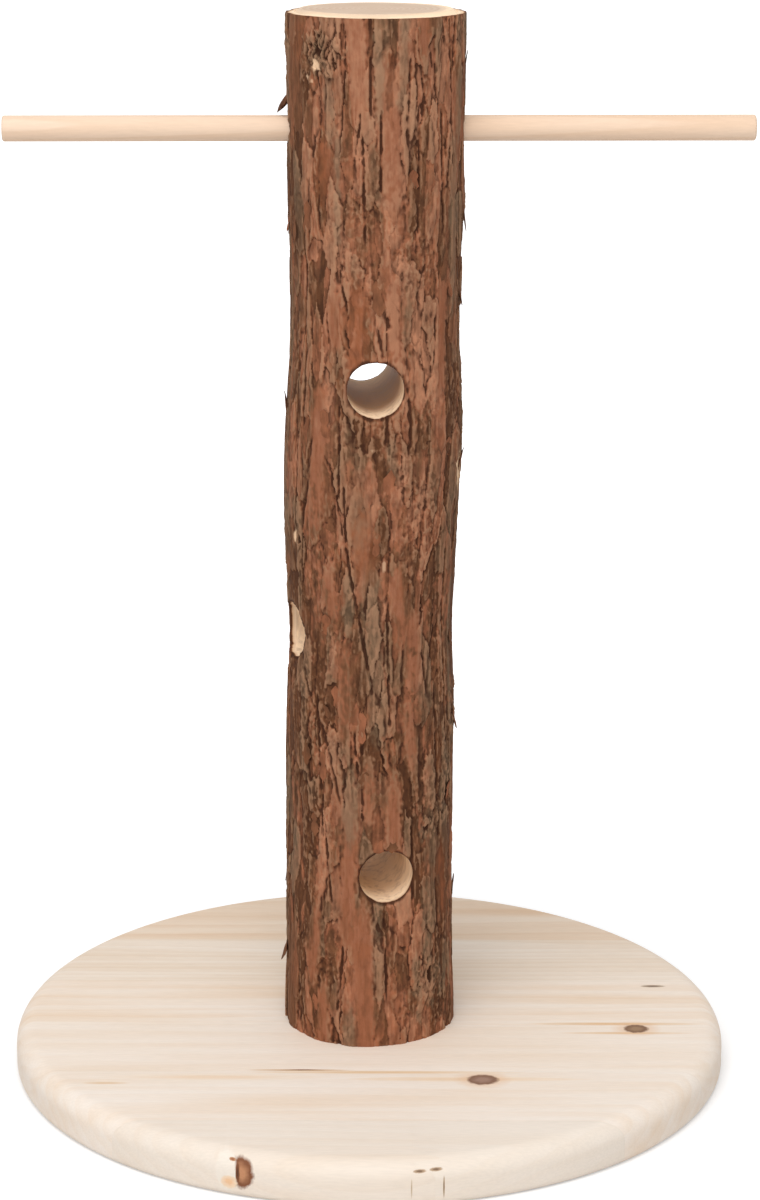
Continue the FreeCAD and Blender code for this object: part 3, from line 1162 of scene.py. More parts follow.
@dataclass
class BarkJacket:
    """The bark as closed quarter shells: the relief outside, the wood's round inside, sawn ends between."""

    log: LogShape
    relief: BarkRelief
    quarters: tuple = ("bark_front", "bark_right", "bark_back", "bark_left")
    inner_step: int = 8
    outside_depth: float = 0.05
    outside_facing: float = 0.25
    outside_map: float = 0.9
    inside_map: float = 0.94
    inside_map_rate: float = 0.012
    inside_map_depth: float = 4.0
    map_slack: float = 0.01

    def build(self, material: Material) -> None:
        """Make the quarters, bore them and give them their fields.

        Args:
            material: Finish of the bark.
        """
        relief = self.relief
        outer_radius = self.log.ridge_radius(relief.up) + relief.height
        outer = self.log.around(relief.angle, relief.up, outer_radius)
        inner = self.log.around(relief.angle, relief.up, self.log.ridge_radius(relief.up) - self.log.bark)
        along = np.gradient(outer, axis=0)
        round_log = 0.5 * (np.roll(outer, -1, axis=1) - np.roll(outer, 1, axis=1))
        normals = np.cross(round_log, along)
        normals /= np.linalg.norm(normals, axis=-1, keepdims=True)
        span = relief.columns // len(self.quarters)
        step = self.inner_step
        for number, name in enumerate(self.quarters):
            columns = np.arange(number * span, (number + 1) * span + 1) % relief.columns
            mesh = self.quarter(name, outer[:, columns], inner[::step, columns[::step]])
            thing = new_object(name, mesh)
            cut(thing, self.log.drills(), Cut.BORE)
            start = relief.first_angle + TURN * number / len(self.quarters)
            self.dress(thing.data, outer_radius, normals, start)
            finish_piece(thing, material, Body.STAND, Slot.BARK, "bark")

    def quarter(self, name: str, outer: Array, inner: Array) -> Mesh:
        """Close a shell between a fine outer grid and a coarse inner one with many-cornered rims.

        Args:
            name: Name of the mesh.
            outer: Grid of points on the relief.
            inner: Grid of every few points on the wood.

        Returns:
            A closed mesh with its faces outwards.
        """
        out = np.arange(outer[..., 0].size).reshape(outer.shape[:2])
        within = out.size + np.arange(inner[..., 0].size).reshape(inner.shape[:2])
        run = np.arange(self.inner_step + 1)

        def rim(edge: Array, inside: Array) -> Array:
            """Make the faces along one rim: a run of the outer edge, then back along one inner step.

            Args:
                edge: Vertex numbers of the outer edge.
                inside: Vertex numbers of the inner edge.

            Returns:
                One row of vertex numbers for each face.
            """
            starts = np.arange(0, len(edge) - 1, self.inner_step)
            return np.concatenate([edge[starts[:, None] + run], inside[1:, None], inside[:-1, None]], axis=1)

        faces = [
            grid_faces(out),
            grid_faces(within)[:, ::-1],
            rim(out[-1], within[-1]),
            rim(out[0], within[0])[:, ::-1],
            rim(out[:, 0], within[:, 0]),
            rim(out[:, -1], within[:, -1])[:, ::-1],
        ]
        return new_mesh(name, np.concatenate([outer.reshape(-1, 3), inner.reshape(-1, 3)]), faces)

    def dress(self, mesh: Mesh, radius: Array, normals: Array, start: float) -> None:
        """Write the fields, the surface map and the shading of the whole jacket onto one bored quarter.

        Args:
            mesh: The quarter's mesh, in triangles.
            radius: Outer radius on the relief's grid.
            normals: Outward directions on the relief's grid.
            start: Angle where the quarter starts.
        """
        points = read_points(mesh)
        up = self.log.up_of(points)
        x = points[:, 0] - self.log.middle(up)
        angle = np.arctan2(points[:, 1], x)
        depth = self.relief.sample(radius, angle, up) - np.hypot(x, points[:, 1])
        write_field(mesh, "depth", depth)
        for name, values in self.relief.fields.items():
            write_field(mesh, name, self.relief.sample(values, angle, up))
        corners = read_numbers(mesh.loops, "vertex_index")
        facing = np.repeat(read_vectors(mesh.polygons, "normal"), 3, axis=0)
        smooth_normal = self.relief.sample(normals, angle, up)[corners]
        deepest = np.repeat(depth[corners].reshape(-1, 3).max(axis=1), 3)
        turned_out = np.sum(facing * smooth_normal, axis=1) > self.outside_facing
        outside = (deepest < self.outside_depth) & turned_out
        mesh.polygons.foreach_set("use_smooth", np.ones(len(mesh.polygons), bool))
        mesh.normals_split_custom_set(np.where(outside[:, None], smooth_normal, facing).tolist())
        share = ((angle - start + self.map_slack) % TURN) / (TURN / len(self.quarters)) * self.outside_map
        inward = np.clip(depth[corners], 0.0, self.inside_map_depth)
        across = np.where(outside, share[corners], self.inside_map + self.inside_map_rate * inward)
        layer = mesh.uv_layers.new(name="OFBake")
        layer.data.foreach_set("uv", np.stack([across, up[corners] / self.log.height], axis=-1).ravel())


@dataclass(frozen=True)
class Shard:
    """A loose shard: where it is, its size, the lift of its free end, which end is free (1 is the upper)."""

    arc: float
    up: float
    length: float
    width: float
    lift: float
    free: float
    slant: float
    tone: float
    thickness: float


@dataclass
class LooseFlakes:
    """Thin shards of bark that hold at one end and stand off the log at the other.

    Each is a lens: its half width falls as one less the fourth power of the place along it, its thickness
    falls to nothing at its outline, and its lift grows with the power 1.5 from the held end to the free one.
    The scattered ones are drawn between the least and the most values, with arcs as shares of the girth. A
    wave of the outline is its gain, its rate along the shard, and its shift by the shard's tone.
    """

    log: LogShape
    relief: BarkRelief
    scattered: int = 60
    tries: int = 240
    clearance: float = 2.0
    outline_waves: tuple = ((0.3, 5.0, 9.0), (0.15, 13.0, 20.0))
    held_share: float = 0.42
    held_depth: float = 0.25
    cup: float = 0.25
    crease: float = 50.0
    seed: int = 77
    rows: int = 9
    columns: int = 5
    chosen: tuple = (
        Shard(-53.0, 377.0, 8.5, 7.0, 4.6, -1.0, 1.0, 0.1, 3.0),
        Shard(-50.5, 29.5, 9.0, 6.0, 2.2, -1.0, 0.3, 0.2, 1.2),
        Shard(51.0, 236.5, 10.0, 5.0, 2.0, 1.0, -0.6, 0.45, 1.0),
        Shard(49.5, 305.0, 13.0, 4.0, 1.8, -1.0, 0.6, 0.2, 1.0),
        Shard(-51.0, 258.0, 12.0, 4.0, 1.6, 1.0, 0.5, 0.25, 1.0),
        Shard(4.0, 85.4, 6.0, 4.6, 0.4, -1.0, 0.5, 0.6, 0.6),
        Shard(9.4, 85.0, 5.0, 3.8, 0.3, -1.0, 0.3, 0.3, 0.6),
    )
    least: Shard = Shard(-0.5, 14.0, 6.0, 2.2, 0.5, -1.0, -1.2, 0.2, 0.4)
    most: Shard = Shard(0.5, 398.0, 15.0, 4.2, 1.5, 1.0, 1.2, 0.7, 0.7)

    def shards(self) -> Shard:
        """Put the scattered shards that are clear of the bores after the chosen ones.

        Returns:
            A shard whose every value is an array, with one row for each shard.
        """
        low, high = astuple(self.least), astuple(self.most)
        rows = np.random.default_rng(self.seed).uniform(low, high, (self.tries, len(low)))
        tried = Shard(*rows.T)
        tried.arc[:] = tried.arc * self.log.girth
        tried.free[:] = np.where(tried.free < 0.0, -1.0, 1.0)
        angle = tried.arc / self.log.radius + FRONT_ANGLE
        clear = np.ones(len(rows), bool)
        for bore in self.log.bores:
            gap = self.relief.sample(self.relief.bore_gap(bore), angle, tried.up)
            clear &= gap > 0.5 * tried.length + self.clearance
        chosen = np.array([astuple(shard) for shard in self.chosen])
        every = np.concatenate([chosen, rows[clear][:self.scattered]])
        return Shard(*(column[:, None, None] for column in every.T))

    def build(self, material: Material) -> None:
        """Bend a grid for each shard, close it underneath and join them all.

        Args:
            material: Finish of the bark.
        """
        shard = self.shards()
        along = np.linspace(-1.0, 1.0, self.rows)[None, :, None]
        across = np.linspace(-1.0, 1.0, self.columns)[None, None, :]
        waves = sum(
            gain * np.sin(rate * along + shift * shard.tone) for gain, rate, shift in self.outline_waves
        )
        half = 0.5 * shard.width * (1.0 - 0.9 * along ** 4) * (1.0 + waves)
        angle = (shard.arc + shard.slant * along + half * across) / self.log.radius + FRONT_ANGLE
        height = shard.up + 0.5 * shard.length * along + 0.0 * across
        held_angle = shard.arc / self.log.radius + FRONT_ANGLE + 0.0 * angle
        held_up = shard.up - self.held_share * shard.length * shard.free + 0.0 * angle
        ground = self.log.ridge_radius(height)
        ground = ground + self.relief.sample(self.relief.height, held_angle, held_up)
        rise = shard.lift * (0.5 + 0.5 * shard.free * along) ** 1.5 - self.held_depth
        thick = shard.thickness * (1.0 - along ** 2) * (1.0 - across ** 2)
        middle = ground + rise + self.cup * across ** 2
        outer = self.log.around(angle, height, middle + 0.5 * thick)
        under = self.log.around(angle, height, middle - 0.5 * thick)
        count, size = len(outer), self.rows * self.columns
        over_index = np.arange(size).reshape(self.rows, self.columns)
        rim = np.ones_like(over_index, bool)
        rim[1:-1, 1:-1] = False
        under_index = np.where(rim, over_index, over_index + size)
        faces = np.concatenate([grid_faces(over_index), grid_faces(under_index)[:, ::-1]])
        points = np.concatenate([outer.reshape(count, size, 3), under.reshape(count, size, 3)], axis=1)
        used = np.unique(faces)
        renumber = np.zeros(2 * size, int)
        renumber[used] = np.arange(len(used))
        faces = renumber[faces][None] + (np.arange(count) * len(used))[:, None, None]
        mesh = new_mesh("bark_flakes", points[:, used].reshape(-1, 3), [faces.reshape(-1, 4)])
        write_field(mesh, "tone", np.repeat(shard.tone.ravel(), len(used)))
        soften(mesh, self.crease)
        finish_piece(new_object("bark_flakes", mesh), material, Body.STAND, Slot.BARK, "bark")


@dataclass
class LogWood:
    """The sawn log inside the bark, bored through."""

    log: LogShape
    bevel: float = 1.6
    proud: float = 0.5
    bark_gap: float = 0.02
    steps: int = 96
    cap_rings: int = 16
    cap_span: tuple = (0.05, 0.98)
    sides: int = 160
    crease: float = 30.0

    def build(self, material: Material) -> None:
        """Turn the wood's swelling outline, bend it along the crook and bore it.

        Args:
            material: Finish of the sawn log.
        """
        top_height = self.log.height + self.proud
        up = np.linspace(0.0, top_height - self.bevel, self.steps)
        side = np.stack([self.log.ridge_radius(up) - self.log.bark - self.bark_gap, up], axis=-1)
        shares = np.linspace(*self.cap_span, self.cap_rings)[:, None]
        foot = shares * [side[0, 0], 0.0]
        top = shares[::-1] * [side[-1, 0] - self.bevel, 0.0] + [0.0, top_height]
        mesh = turned_mesh("log_wood", np.concatenate([foot, side, top]), self.sides)
        points = read_points(mesh)
        points[:, 0] += self.log.middle(points[:, 2])
        points[:, 2] += self.log.board_top + self.log.cut_offset(points[:, 2], points[:, 1])
        write_points(mesh, points)
        thing = new_object("log_wood", mesh)
        cut(thing, self.log.drills(), Cut.BORE)
        soften(thing.data, self.crease)
        finish_piece(thing, material, Body.STAND, Slot.LOG_WOOD, "trunk_wood")


@dataclass
class Perch:
    """The dowel pushed through the log, with softened ends."""

    log: LogShape
    diameter: float = 10.0
    length: float = 290.0
    chamfer: float = 1.0
    shift: float = 1.5
    end_margin: float = 4.0
    sides: int = 96
    corner_steps: int = 7
    cap_rings: int = 6
    cap_span: tuple = (0.2, 0.9)
    side_rings: int = 60
    crease: float = 40.0

    def build(self, material: Material) -> None:
        """Turn the dowel's outline, with quarter rounds at its ends, and lay it along the bore.

        Args:
            material: Finish of the dowel.
        """
        radius = 0.5 * self.diameter
        bend = np.linspace(0.0, 0.5 * math.pi, self.corner_steps)
        inward, along = self.chamfer * (1 - np.sin(bend)), self.chamfer * (1 - np.cos(bend))
        corner = np.stack([radius - inward, along], axis=-1)
        cap = np.linspace(*self.cap_span, self.cap_rings) * (radius - self.chamfer)
        start = np.concatenate([np.stack([cap, np.zeros(self.cap_rings)], axis=-1), corner])
        run = np.linspace(self.end_margin, self.length - self.end_margin, self.side_rings)
        side = np.stack([np.full(self.side_rings, radius), run], axis=-1)
        end = (start * [1.0, -1.0] + [0.0, self.length])[::-1]
        mesh = turned_mesh("perch_dowel", np.concatenate([start, side, end]), self.sides)
        bore = self.log.perch_bore
        first = bore.outward() * (self.shift - 0.5 * self.length) + self.log.inside(bore)
        lay_along(mesh, bore.outward(), first)
        soften(mesh, self.crease)
        finish_piece(new_object("perch_dowel", mesh), material, Body.PERCH, Slot.DOWEL_WOOD, "perch")


# The board


@dataclass
class BaseBoard:
    """The round board of glued staves, its rim rounded over, with a finger joint in the front stave."""

    diameter: float = 290.0
    thickness: float = 18.0
    top_rounding: float = 8.0
    under_rounding: float = 3.0
    rounding_steps: int = 9
    seams: tuple = (-106.0, -59.0, -12.0, 35.0, 82.0, 129.0)
    finger_x: float = 22.0
    finger_length: float = 9.5
    finger_pitch: float = 5.6
    finger_tip: float = 0.8
    screw_circle: float = 19.0
    screw_angles: tuple = (30.0, 150.0, 270.0)
    screw_hole: tuple = ((5.05, -5.0), (5.05, 0.9), (2.55, 3.4), (2.55, 30.0))
    screw_sides: int = 64
    sides: int = 360
    glue_gap: float = 0.03
    overrun: float = 5.0
    finger_overrun: float = 6.0
    crease: float = 35.0

    @property
    def reach(self) -> float:
        """How far the cutting shapes reach from the middle, past the rim."""
        return 0.5 * self.diameter + self.overrun

    @property
    def bounds(self) -> tuple:
        """Front of each stave in turn, and the back of the last one, past the rim at both ends."""
        return (-self.reach,) + self.seams + (self.reach,)

    def disc(self, name: str) -> Mesh:
        """Turn the whole board's outline: flat, small quarter round, side, large quarter round, flat.

        Args:
            name: Name of the mesh.

        Returns:
            A closed mesh.
        """
        edge = 0.5 * self.diameter
        bend = np.linspace(0.0, 0.5 * math.pi, self.rounding_steps)
        low, high = self.under_rounding, self.top_rounding
        under = np.stack([edge - low + low * np.sin(bend), low - low * np.cos(bend)], axis=-1)
        rise = self.thickness - high + high * np.sin(bend)
        over = np.stack([edge - high + high * np.cos(bend), rise], axis=-1)
        return turned_mesh(name, np.concatenate([under, over]), self.sides)

    def screw_tools(self) -> Mesh:
        """Turn countersinks and holes for the screws, a little wider than the solids have them.

        Returns:
            One mesh of them all.
        """
        tools = []
        for degrees in self.screw_angles:
            tool = turned_mesh("tool", np.array(self.screw_hole), self.screw_sides)
            angle = math.radians(degrees)
            move = np.array([math.cos(angle), math.sin(angle), 0.0]) * self.screw_circle
            write_points(tool, read_points(tool) + move)
            tools.append(tool)
        return merged("tools", tools)

    def zigzag(self, gap: float) -> Array:
        """Outline the plan left of the finger joint: blunt fingers from the first seam past the rim.

        Args:
            gap: Shift to the right.

        Returns:
            Rows of X and Y, anticlockwise.
        """
        left = self.finger_x - 0.5 * self.finger_length + gap
        flank = 0.5 * self.finger_pitch - self.finger_tip
        start = self.seams[0] + self.overrun
        count = 2 * math.ceil((start + self.reach) / self.finger_pitch)
        back = start - np.arange(count) * (self.finger_tip + flank)
        x = left + self.finger_length * (np.arange(count) % 2)
        tips = np.stack([back, back - self.finger_tip], axis=-1)
        line = np.stack([np.repeat(x, 2), tips.ravel()], axis=-1)
        corners = [[-self.reach, line[0, 1]], [-self.reach, line[-1, 1]]]
        return np.concatenate([corners, line[::-1]])

    def build(self, materials: dict) -> None:
        """Divide the disc into its staves and bore the ones that the screws pass.

        Args:
            materials: Finishes by the staves' names.
        """
        reach, past, deep = self.reach, self.overrun, self.finger_overrun
        for number, (front, back) in enumerate(zip(self.bounds, self.bounds[1:]), start=1):
            front, back = front + self.glue_gap, back - self.glue_gap
            plan = np.array([[-reach, front], [reach, front], [reach, back], [-reach, back]])
            halves = (("", None, 0),)
            if number == 1:
                halves = (("_left", Cut.KEEP, -1), ("_right", Cut.BORE, 1))
            for ending, way, side in halves:
                name = f"stave_{number}{ending}"
                thing = new_object(name, self.disc(name))
                cut(thing, prism_mesh("strip", plan, -past, self.thickness + past), Cut.KEEP)
                if way is not None:
                    fingers = self.zigzag(side * self.glue_gap)
                    cut(thing, prism_mesh("fingers", fingers, -deep, self.thickness + deep), way)
                if front < self.screw_circle + past and back > -self.screw_circle - past:
                    cut(thing, self.screw_tools(), Cut.BORE)
                soften(thing.data, self.crease)
                finish_piece(thing, materials[name], Body.STAND, Slot.BOARD_WOOD, f"base_{name}")


@dataclass(frozen=True)
class BaseScrews:
    """The screws under the board: the mesh of their solids, with a finish."""

    node: str = "base_screws"

    def dress(self, material: Material) -> None:
        """Give the screws their finish.

        Args:
            material: Finish of the steel.
        """
        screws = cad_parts[self.node]
        screws.data.materials.clear()
        screws.data.materials.append(material)
        LOG.info("%s: %d faces", screws.name, len(screws.data.polygons))


# Finishes


@dataclass(frozen=True)
class BarkFinish:
    """Weathered fir bark: matt reddish plates, brown torn edges, grey strips, near-black furrows, with
    painted shade in hollows and a painted highlight on crests.

    Real fibres are finer: here they are as coarse as the render needs to show them. Fibres and specks are
    stretched up the log by the inverse of their shares.
    """

    thickness: float
    name: str = "weathered_fir_bark"
    fibre: float = 1.25
    fibre_share: float = 0.08
    speck: float = 3.03
    speck_share: float = 0.55
    patch: float = 14.3
    plates: tuple = (
        (0.1, "#57351F"), (0.92, "#A06D51"), (0.3, "#6B452D"), (0.48, "#7B4D34"), (0.62, "#8B563B"),
        (0.76, "#925D43"),
    )
    sawn: tuple = ((0.08, "#4E2F1D"), (0.8, "#F6DEC2"), (0.2, "#85583B"), (0.32, "#E2BF9B"))
    grey: str = "#71604B"
    rust: str = "#8F5333"
    # Near-black colour of the painted shade in hollows, furrows and pits.
    furrow: str = "#3E2113"
    # Paler colour of raised crests: worn edges and painted highlight.
    crest_wear_and_highlight: str = "#AA8062"
    inner_bark: str = "#E4BE9A"
    bump: float = 0.4

    def make(self) -> Material:
        """Mix plate, weather, painted shade and highlight, and torn colours by the relief's own fields.

        Returns:
            The material.
        """
        material, node = new_material(self.name)
        spot = node("TexCoord")["Object"]
        words = ("tone", "painted_relief_shading", "weather", "chip", "depth", "fresh", "calm")
        reads = {word: node("Attribute", attribute_name=word)["Fac"] for word in words}
        long = node("Mapping", {"Vector": spot, "Scale": (1.0, 1.0, self.fibre_share)})["Vector"]
        squat = node("Mapping", {"Vector": spot, "Scale": (1.0, 1.0, self.speck_share)})["Vector"]
        fibre = node("TexNoise", {
            "Vector": long, "Scale": per_metre(self.fibre), "Detail": 5.0, "Roughness": 0.65,
        })["Fac"]
        patch = node("TexNoise", {"Vector": spot, "Scale": per_metre(self.patch), "Detail": 5.0})["Fac"]
        speck = node("TexNoise", {"Vector": squat, "Scale": per_metre(self.speck), "Detail": 3.0})["Fac"]
        shifted = node("Math", {0: fibre, 1: 0.3, 2: -0.15}, operation="MULTIPLY_ADD")[0]
        shifted = node("Math", {0: shifted, 1: reads["tone"]}, operation="ADD")[0]
        colour = node("ValToRGB", {"Fac": shifted}, stops=self.plates)["Color"]
        aged = node("Math", {0: reads["weather"], 1: 0.6}, operation="MULTIPLY")[0]
        rusty = node("MapRange", {0: patch, 1: 0.56, 2: 0.72, 3: 0.0, 4: 0.3})[0]
        fresh = node("Math", {0: reads["fresh"], 1: 0.65}, operation="MULTIPLY")[0]
        rusty = node("Math", {0: rusty, 1: fresh}, operation="MAXIMUM")[0]
        for share, code in ((aged, self.grey), (rusty, self.rust)):
            colour = node("Mix", {0: share, 6: colour, 7: linear(code)}, data_type="RGBA")[2]
        strands = node("MapRange", {0: fibre, 1: 0.3, 2: 0.7, 3: 0.97, 4: 1.09})[0]
        rough = node("MapRange", {0: reads["calm"], 3: 1.0, 4: 0.25})[0]
        specks = node("MapRange", {0: speck, 1: 0.3, 2: 0.7, 3: -0.3, 4: 0.3})[0]
        specks = node("Math", {0: specks, 1: rough, 2: 1.0}, operation="MULTIPLY_ADD")[0]
        for light in (strands, specks):
            colour = node("VectorMath", {0: colour, "Scale": light}, operation="SCALE")[0]
        # Painted shade: hollows, furrows and pits take the near-black furrow colour; raised crests take a
        # paler colour, partly worn edges and partly painted highlight.
        hollow_shade = node("MapRange", {0: reads["painted_relief_shading"], 1: 0.0, 2: 0.6, 3: 0.0, 4: 0.9})[0]
        crest_wear_and_highlight = node("MapRange", {0: reads["painted_relief_shading"], 1: -0.06, 2: -0.4, 3: 0.0, 4: 0.5})[0]
        for share, code in ((hollow_shade, self.furrow), (crest_wear_and_highlight, self.crest_wear_and_highlight), (reads["chip"], self.inner_bark)):
            colour = node("Mix", {0: share, 6: colour, 7: linear(code)}, data_type="RGBA")[2]
        below = node("MapRange", {0: reads["depth"], 1: 0.1, 2: 0.4, 3: 0.0, 4: 1.0})[0]
        layer = node("MapRange", {0: reads["depth"], 2: self.thickness})[0]
        ring = node("ValToRGB", {"Fac": layer}, stops=self.sawn)["Color"]
        colour = node("Mix", {0: below, 6: colour, 7: ring}, data_type="RGBA")[2]
        bump = node("Bump", {"Height": fibre, "Strength": 0.3, "Distance": self.bump * MM})[0]
        shader = node("BsdfPrincipled", {
            "Base Color": colour, "Roughness": 0.9, "Specular IOR Level": 0.2, "Normal": bump,
        })[0]
        node("OutputMaterial", {"Surface": shader})
        return material


@dataclass(frozen=True)
class Mark:
    """An oval mark in wood: middle and half sizes, then the colours of its heart, its edge and its halo.

    The halo's spread is counted in half sizes. Noise makes the outline ragged: its cells are counted in each
    half size.
    """

    middle: tuple
    half: tuple
    heart: str
    edge: str
    halo: str = ""
    spread: float = 2.2
    face: Face = Face.TOP
    rag_cells: float = 2.2

    def paint(self, node: Adder, spot: Socket, wood: Socket) -> Socket:
        """Draw the halo and then the mark over a wood colour, by the ragged distance from its oval.

        Args:
            node: Function that adds a node to the wood.
            spot: Place on the object.
            wood: Colour so far.

        Returns:
            The colour with the mark.
        """
        middle = tuple(part * MM for part in self.middle)
        stretch = tuple(share / (half * MM) for share, half in zip(self.face.value, self.half))
        gap = node("VectorMath", {0: spot, 1: middle}, operation="SUBTRACT")[0]
        gap = node("VectorMath", {0: gap, 1: stretch}, operation="MULTIPLY")[0]
        far = node("VectorMath", {0: gap}, operation="LENGTH")["Value"]
        rag = node("TexNoise", {"Vector": gap, "Scale": self.rag_cells, "Detail": 3.0})["Fac"]
        far = node("Math", {0: rag, 1: 0.5, 2: far}, operation="MULTIPLY_ADD")[0]
        if self.halo:
            tint = node("MapRange", {0: far, 1: self.spread, 2: 1.1, 3: 0.0, 4: 0.6})[0]
            wood = node("Mix", {0: tint, 6: wood, 7: linear(self.halo)}, data_type="RGBA")[2]
        body = node("ValToRGB", {"Fac": far}, stops=((0.55, self.heart), (1.0, self.edge)))["Color"]
        inside = node("MapRange", {0: far, 1: 1.35, 2: 1.1, 3: 0.0, 4: 1.0})[0]
        return node("Mix", {0: inside, 6: wood, 7: body}, data_type="RGBA")[2]


@dataclass(frozen=True)
class GrainFinish:
    """Sawn, planed or sanded wood: growth rings about a line, darker late wood, streaks and fibres along it.

    The eye sees pale matt wood with low-contrast lines, and a little sheen where a tool left it smooth. Real
    fibres are finer: here they are as coarse as the render needs to show them.
    """

    name: str
    pith: tuple
    axis: tuple
    ring: float
    early: str
    late: str
    contrast: float
    streak: float
    bend: float = 8.0
    marks: tuple = ()
    bend_size: float = 35.7
    streak_size: float = 13.3
    fibre: float = 0.667
    stretch: float = 0.9
    bump: float = 0.2

    def make(self) -> Material:
        """Colour by the distance from the pith, bent by noise, and by streaks and fibres along the grain.

        Returns:
            The material.
        """
        material, node = new_material(self.name)
        spot = node("TexCoord")["Object"]
        across = tuple(1.0 - self.stretch * abs(part) for part in self.axis)
        grain = node("Mapping", {"Vector": spot, "Scale": across})["Vector"]
        far = self.from_pith(node, spot, grain)
        wood = self.worked(node, spot, grain, far, self.rings(node, grain, far))
        for mark in self.marks:
            wood = mark.paint(node, spot, wood)
        fine = node("TexNoise", {"Vector": grain, "Scale": per_metre(self.fibre), "Detail": 2.0})["Fac"]
        dim = node("MapRange", {0: fine, 1: 0.3, 2: 0.7, 3: 0.965, 4: 1.025})[0]
        colour = node("VectorMath", {0: wood, "Scale": dim}, operation="SCALE")[0]
        bump = node("Bump", {"Height": fine, "Strength": 0.15, "Distance": self.bump * MM})[0]
        shader = node("BsdfPrincipled", {
            "Base Color": colour, "Roughness": 0.62, "Specular IOR Level": 0.3, "Normal": bump,
        })[0]
        node("OutputMaterial", {"Surface": shader})
        return material

    def from_pith(self, node: Adder, spot: Socket, grain: Socket) -> Socket:
        """Distance from the pith's line after noise has bent the rings.

        Args:
            node: Function that adds a node.
            spot: Place on the object.
            grain: Place stretched along the grain.

        Returns:
            The distance in metres.
        """
        bend = node("TexNoise", {"Vector": grain, "Scale": per_metre(self.bend_size), "Detail": 2.0})["Color"]
        bend = node("VectorMath", {0: bend, 1: (0.5, 0.5, 0.5)}, operation="SUBTRACT")[0]
        bend = node("VectorMath", {0: bend, "Scale": self.bend * MM}, operation="SCALE")[0]
        moved = node("VectorMath", {0: spot, 1: bend}, operation="ADD")[0]
        pith = tuple(part * MM for part in self.pith)
        moved = node("VectorMath", {0: moved, 1: pith}, operation="SUBTRACT")[0]
        flat = tuple(1.0 - abs(part) for part in self.axis)
        moved = node("VectorMath", {0: moved, 1: flat}, operation="MULTIPLY")[0]
        return node("VectorMath", {0: moved}, operation="LENGTH")["Value"]

    def rings(self, node: Adder, grain: Socket, far: Socket) -> Socket:
        """Colour that goes from early to late wood through each ring, plus streaks.

        Args:
            node: Function that adds a node.
            grain: Place stretched along the grain.
            far: Distance from the pith.

        Returns:
            The wood's colour.
        """
        phase = node("Math", {0: far, 1: per_metre(self.ring)}, operation="MULTIPLY")[0]
        part = node("Math", {0: phase}, operation="FRACT")[0]
        late = node("MapRange", {0: part, 1: 0.25, 2: 0.9, 3: 0.0, 4: self.contrast})[0]
        drop = node("MapRange", {0: part, 1: 0.9, 2: 1.0, 3: 1.0, 4: 0.0})[0]
        late = node("Math", {0: late, 1: drop}, operation="MULTIPLY")[0]
        band = node("TexNoise", {"Vector": grain, "Scale": per_metre(self.streak_size), "Detail": 5.0})["Fac"]
        band = node("MapRange", {0: band, 1: 0.38, 2: 0.72, 3: 0.0, 4: self.streak})[0]
        late = node("Math", {0: late, 1: band}, operation="ADD")[0]
        return node("Mix", {0: late, 6: linear(self.early), 7: linear(self.late)}, data_type="RGBA")[2]

    def worked(self, node: Adder, spot: Socket, grain: Socket, far: Socket, wood: Socket) -> Socket:
        """Colour after sawing and boring: plain planed wood keeps its own."""
        return wood


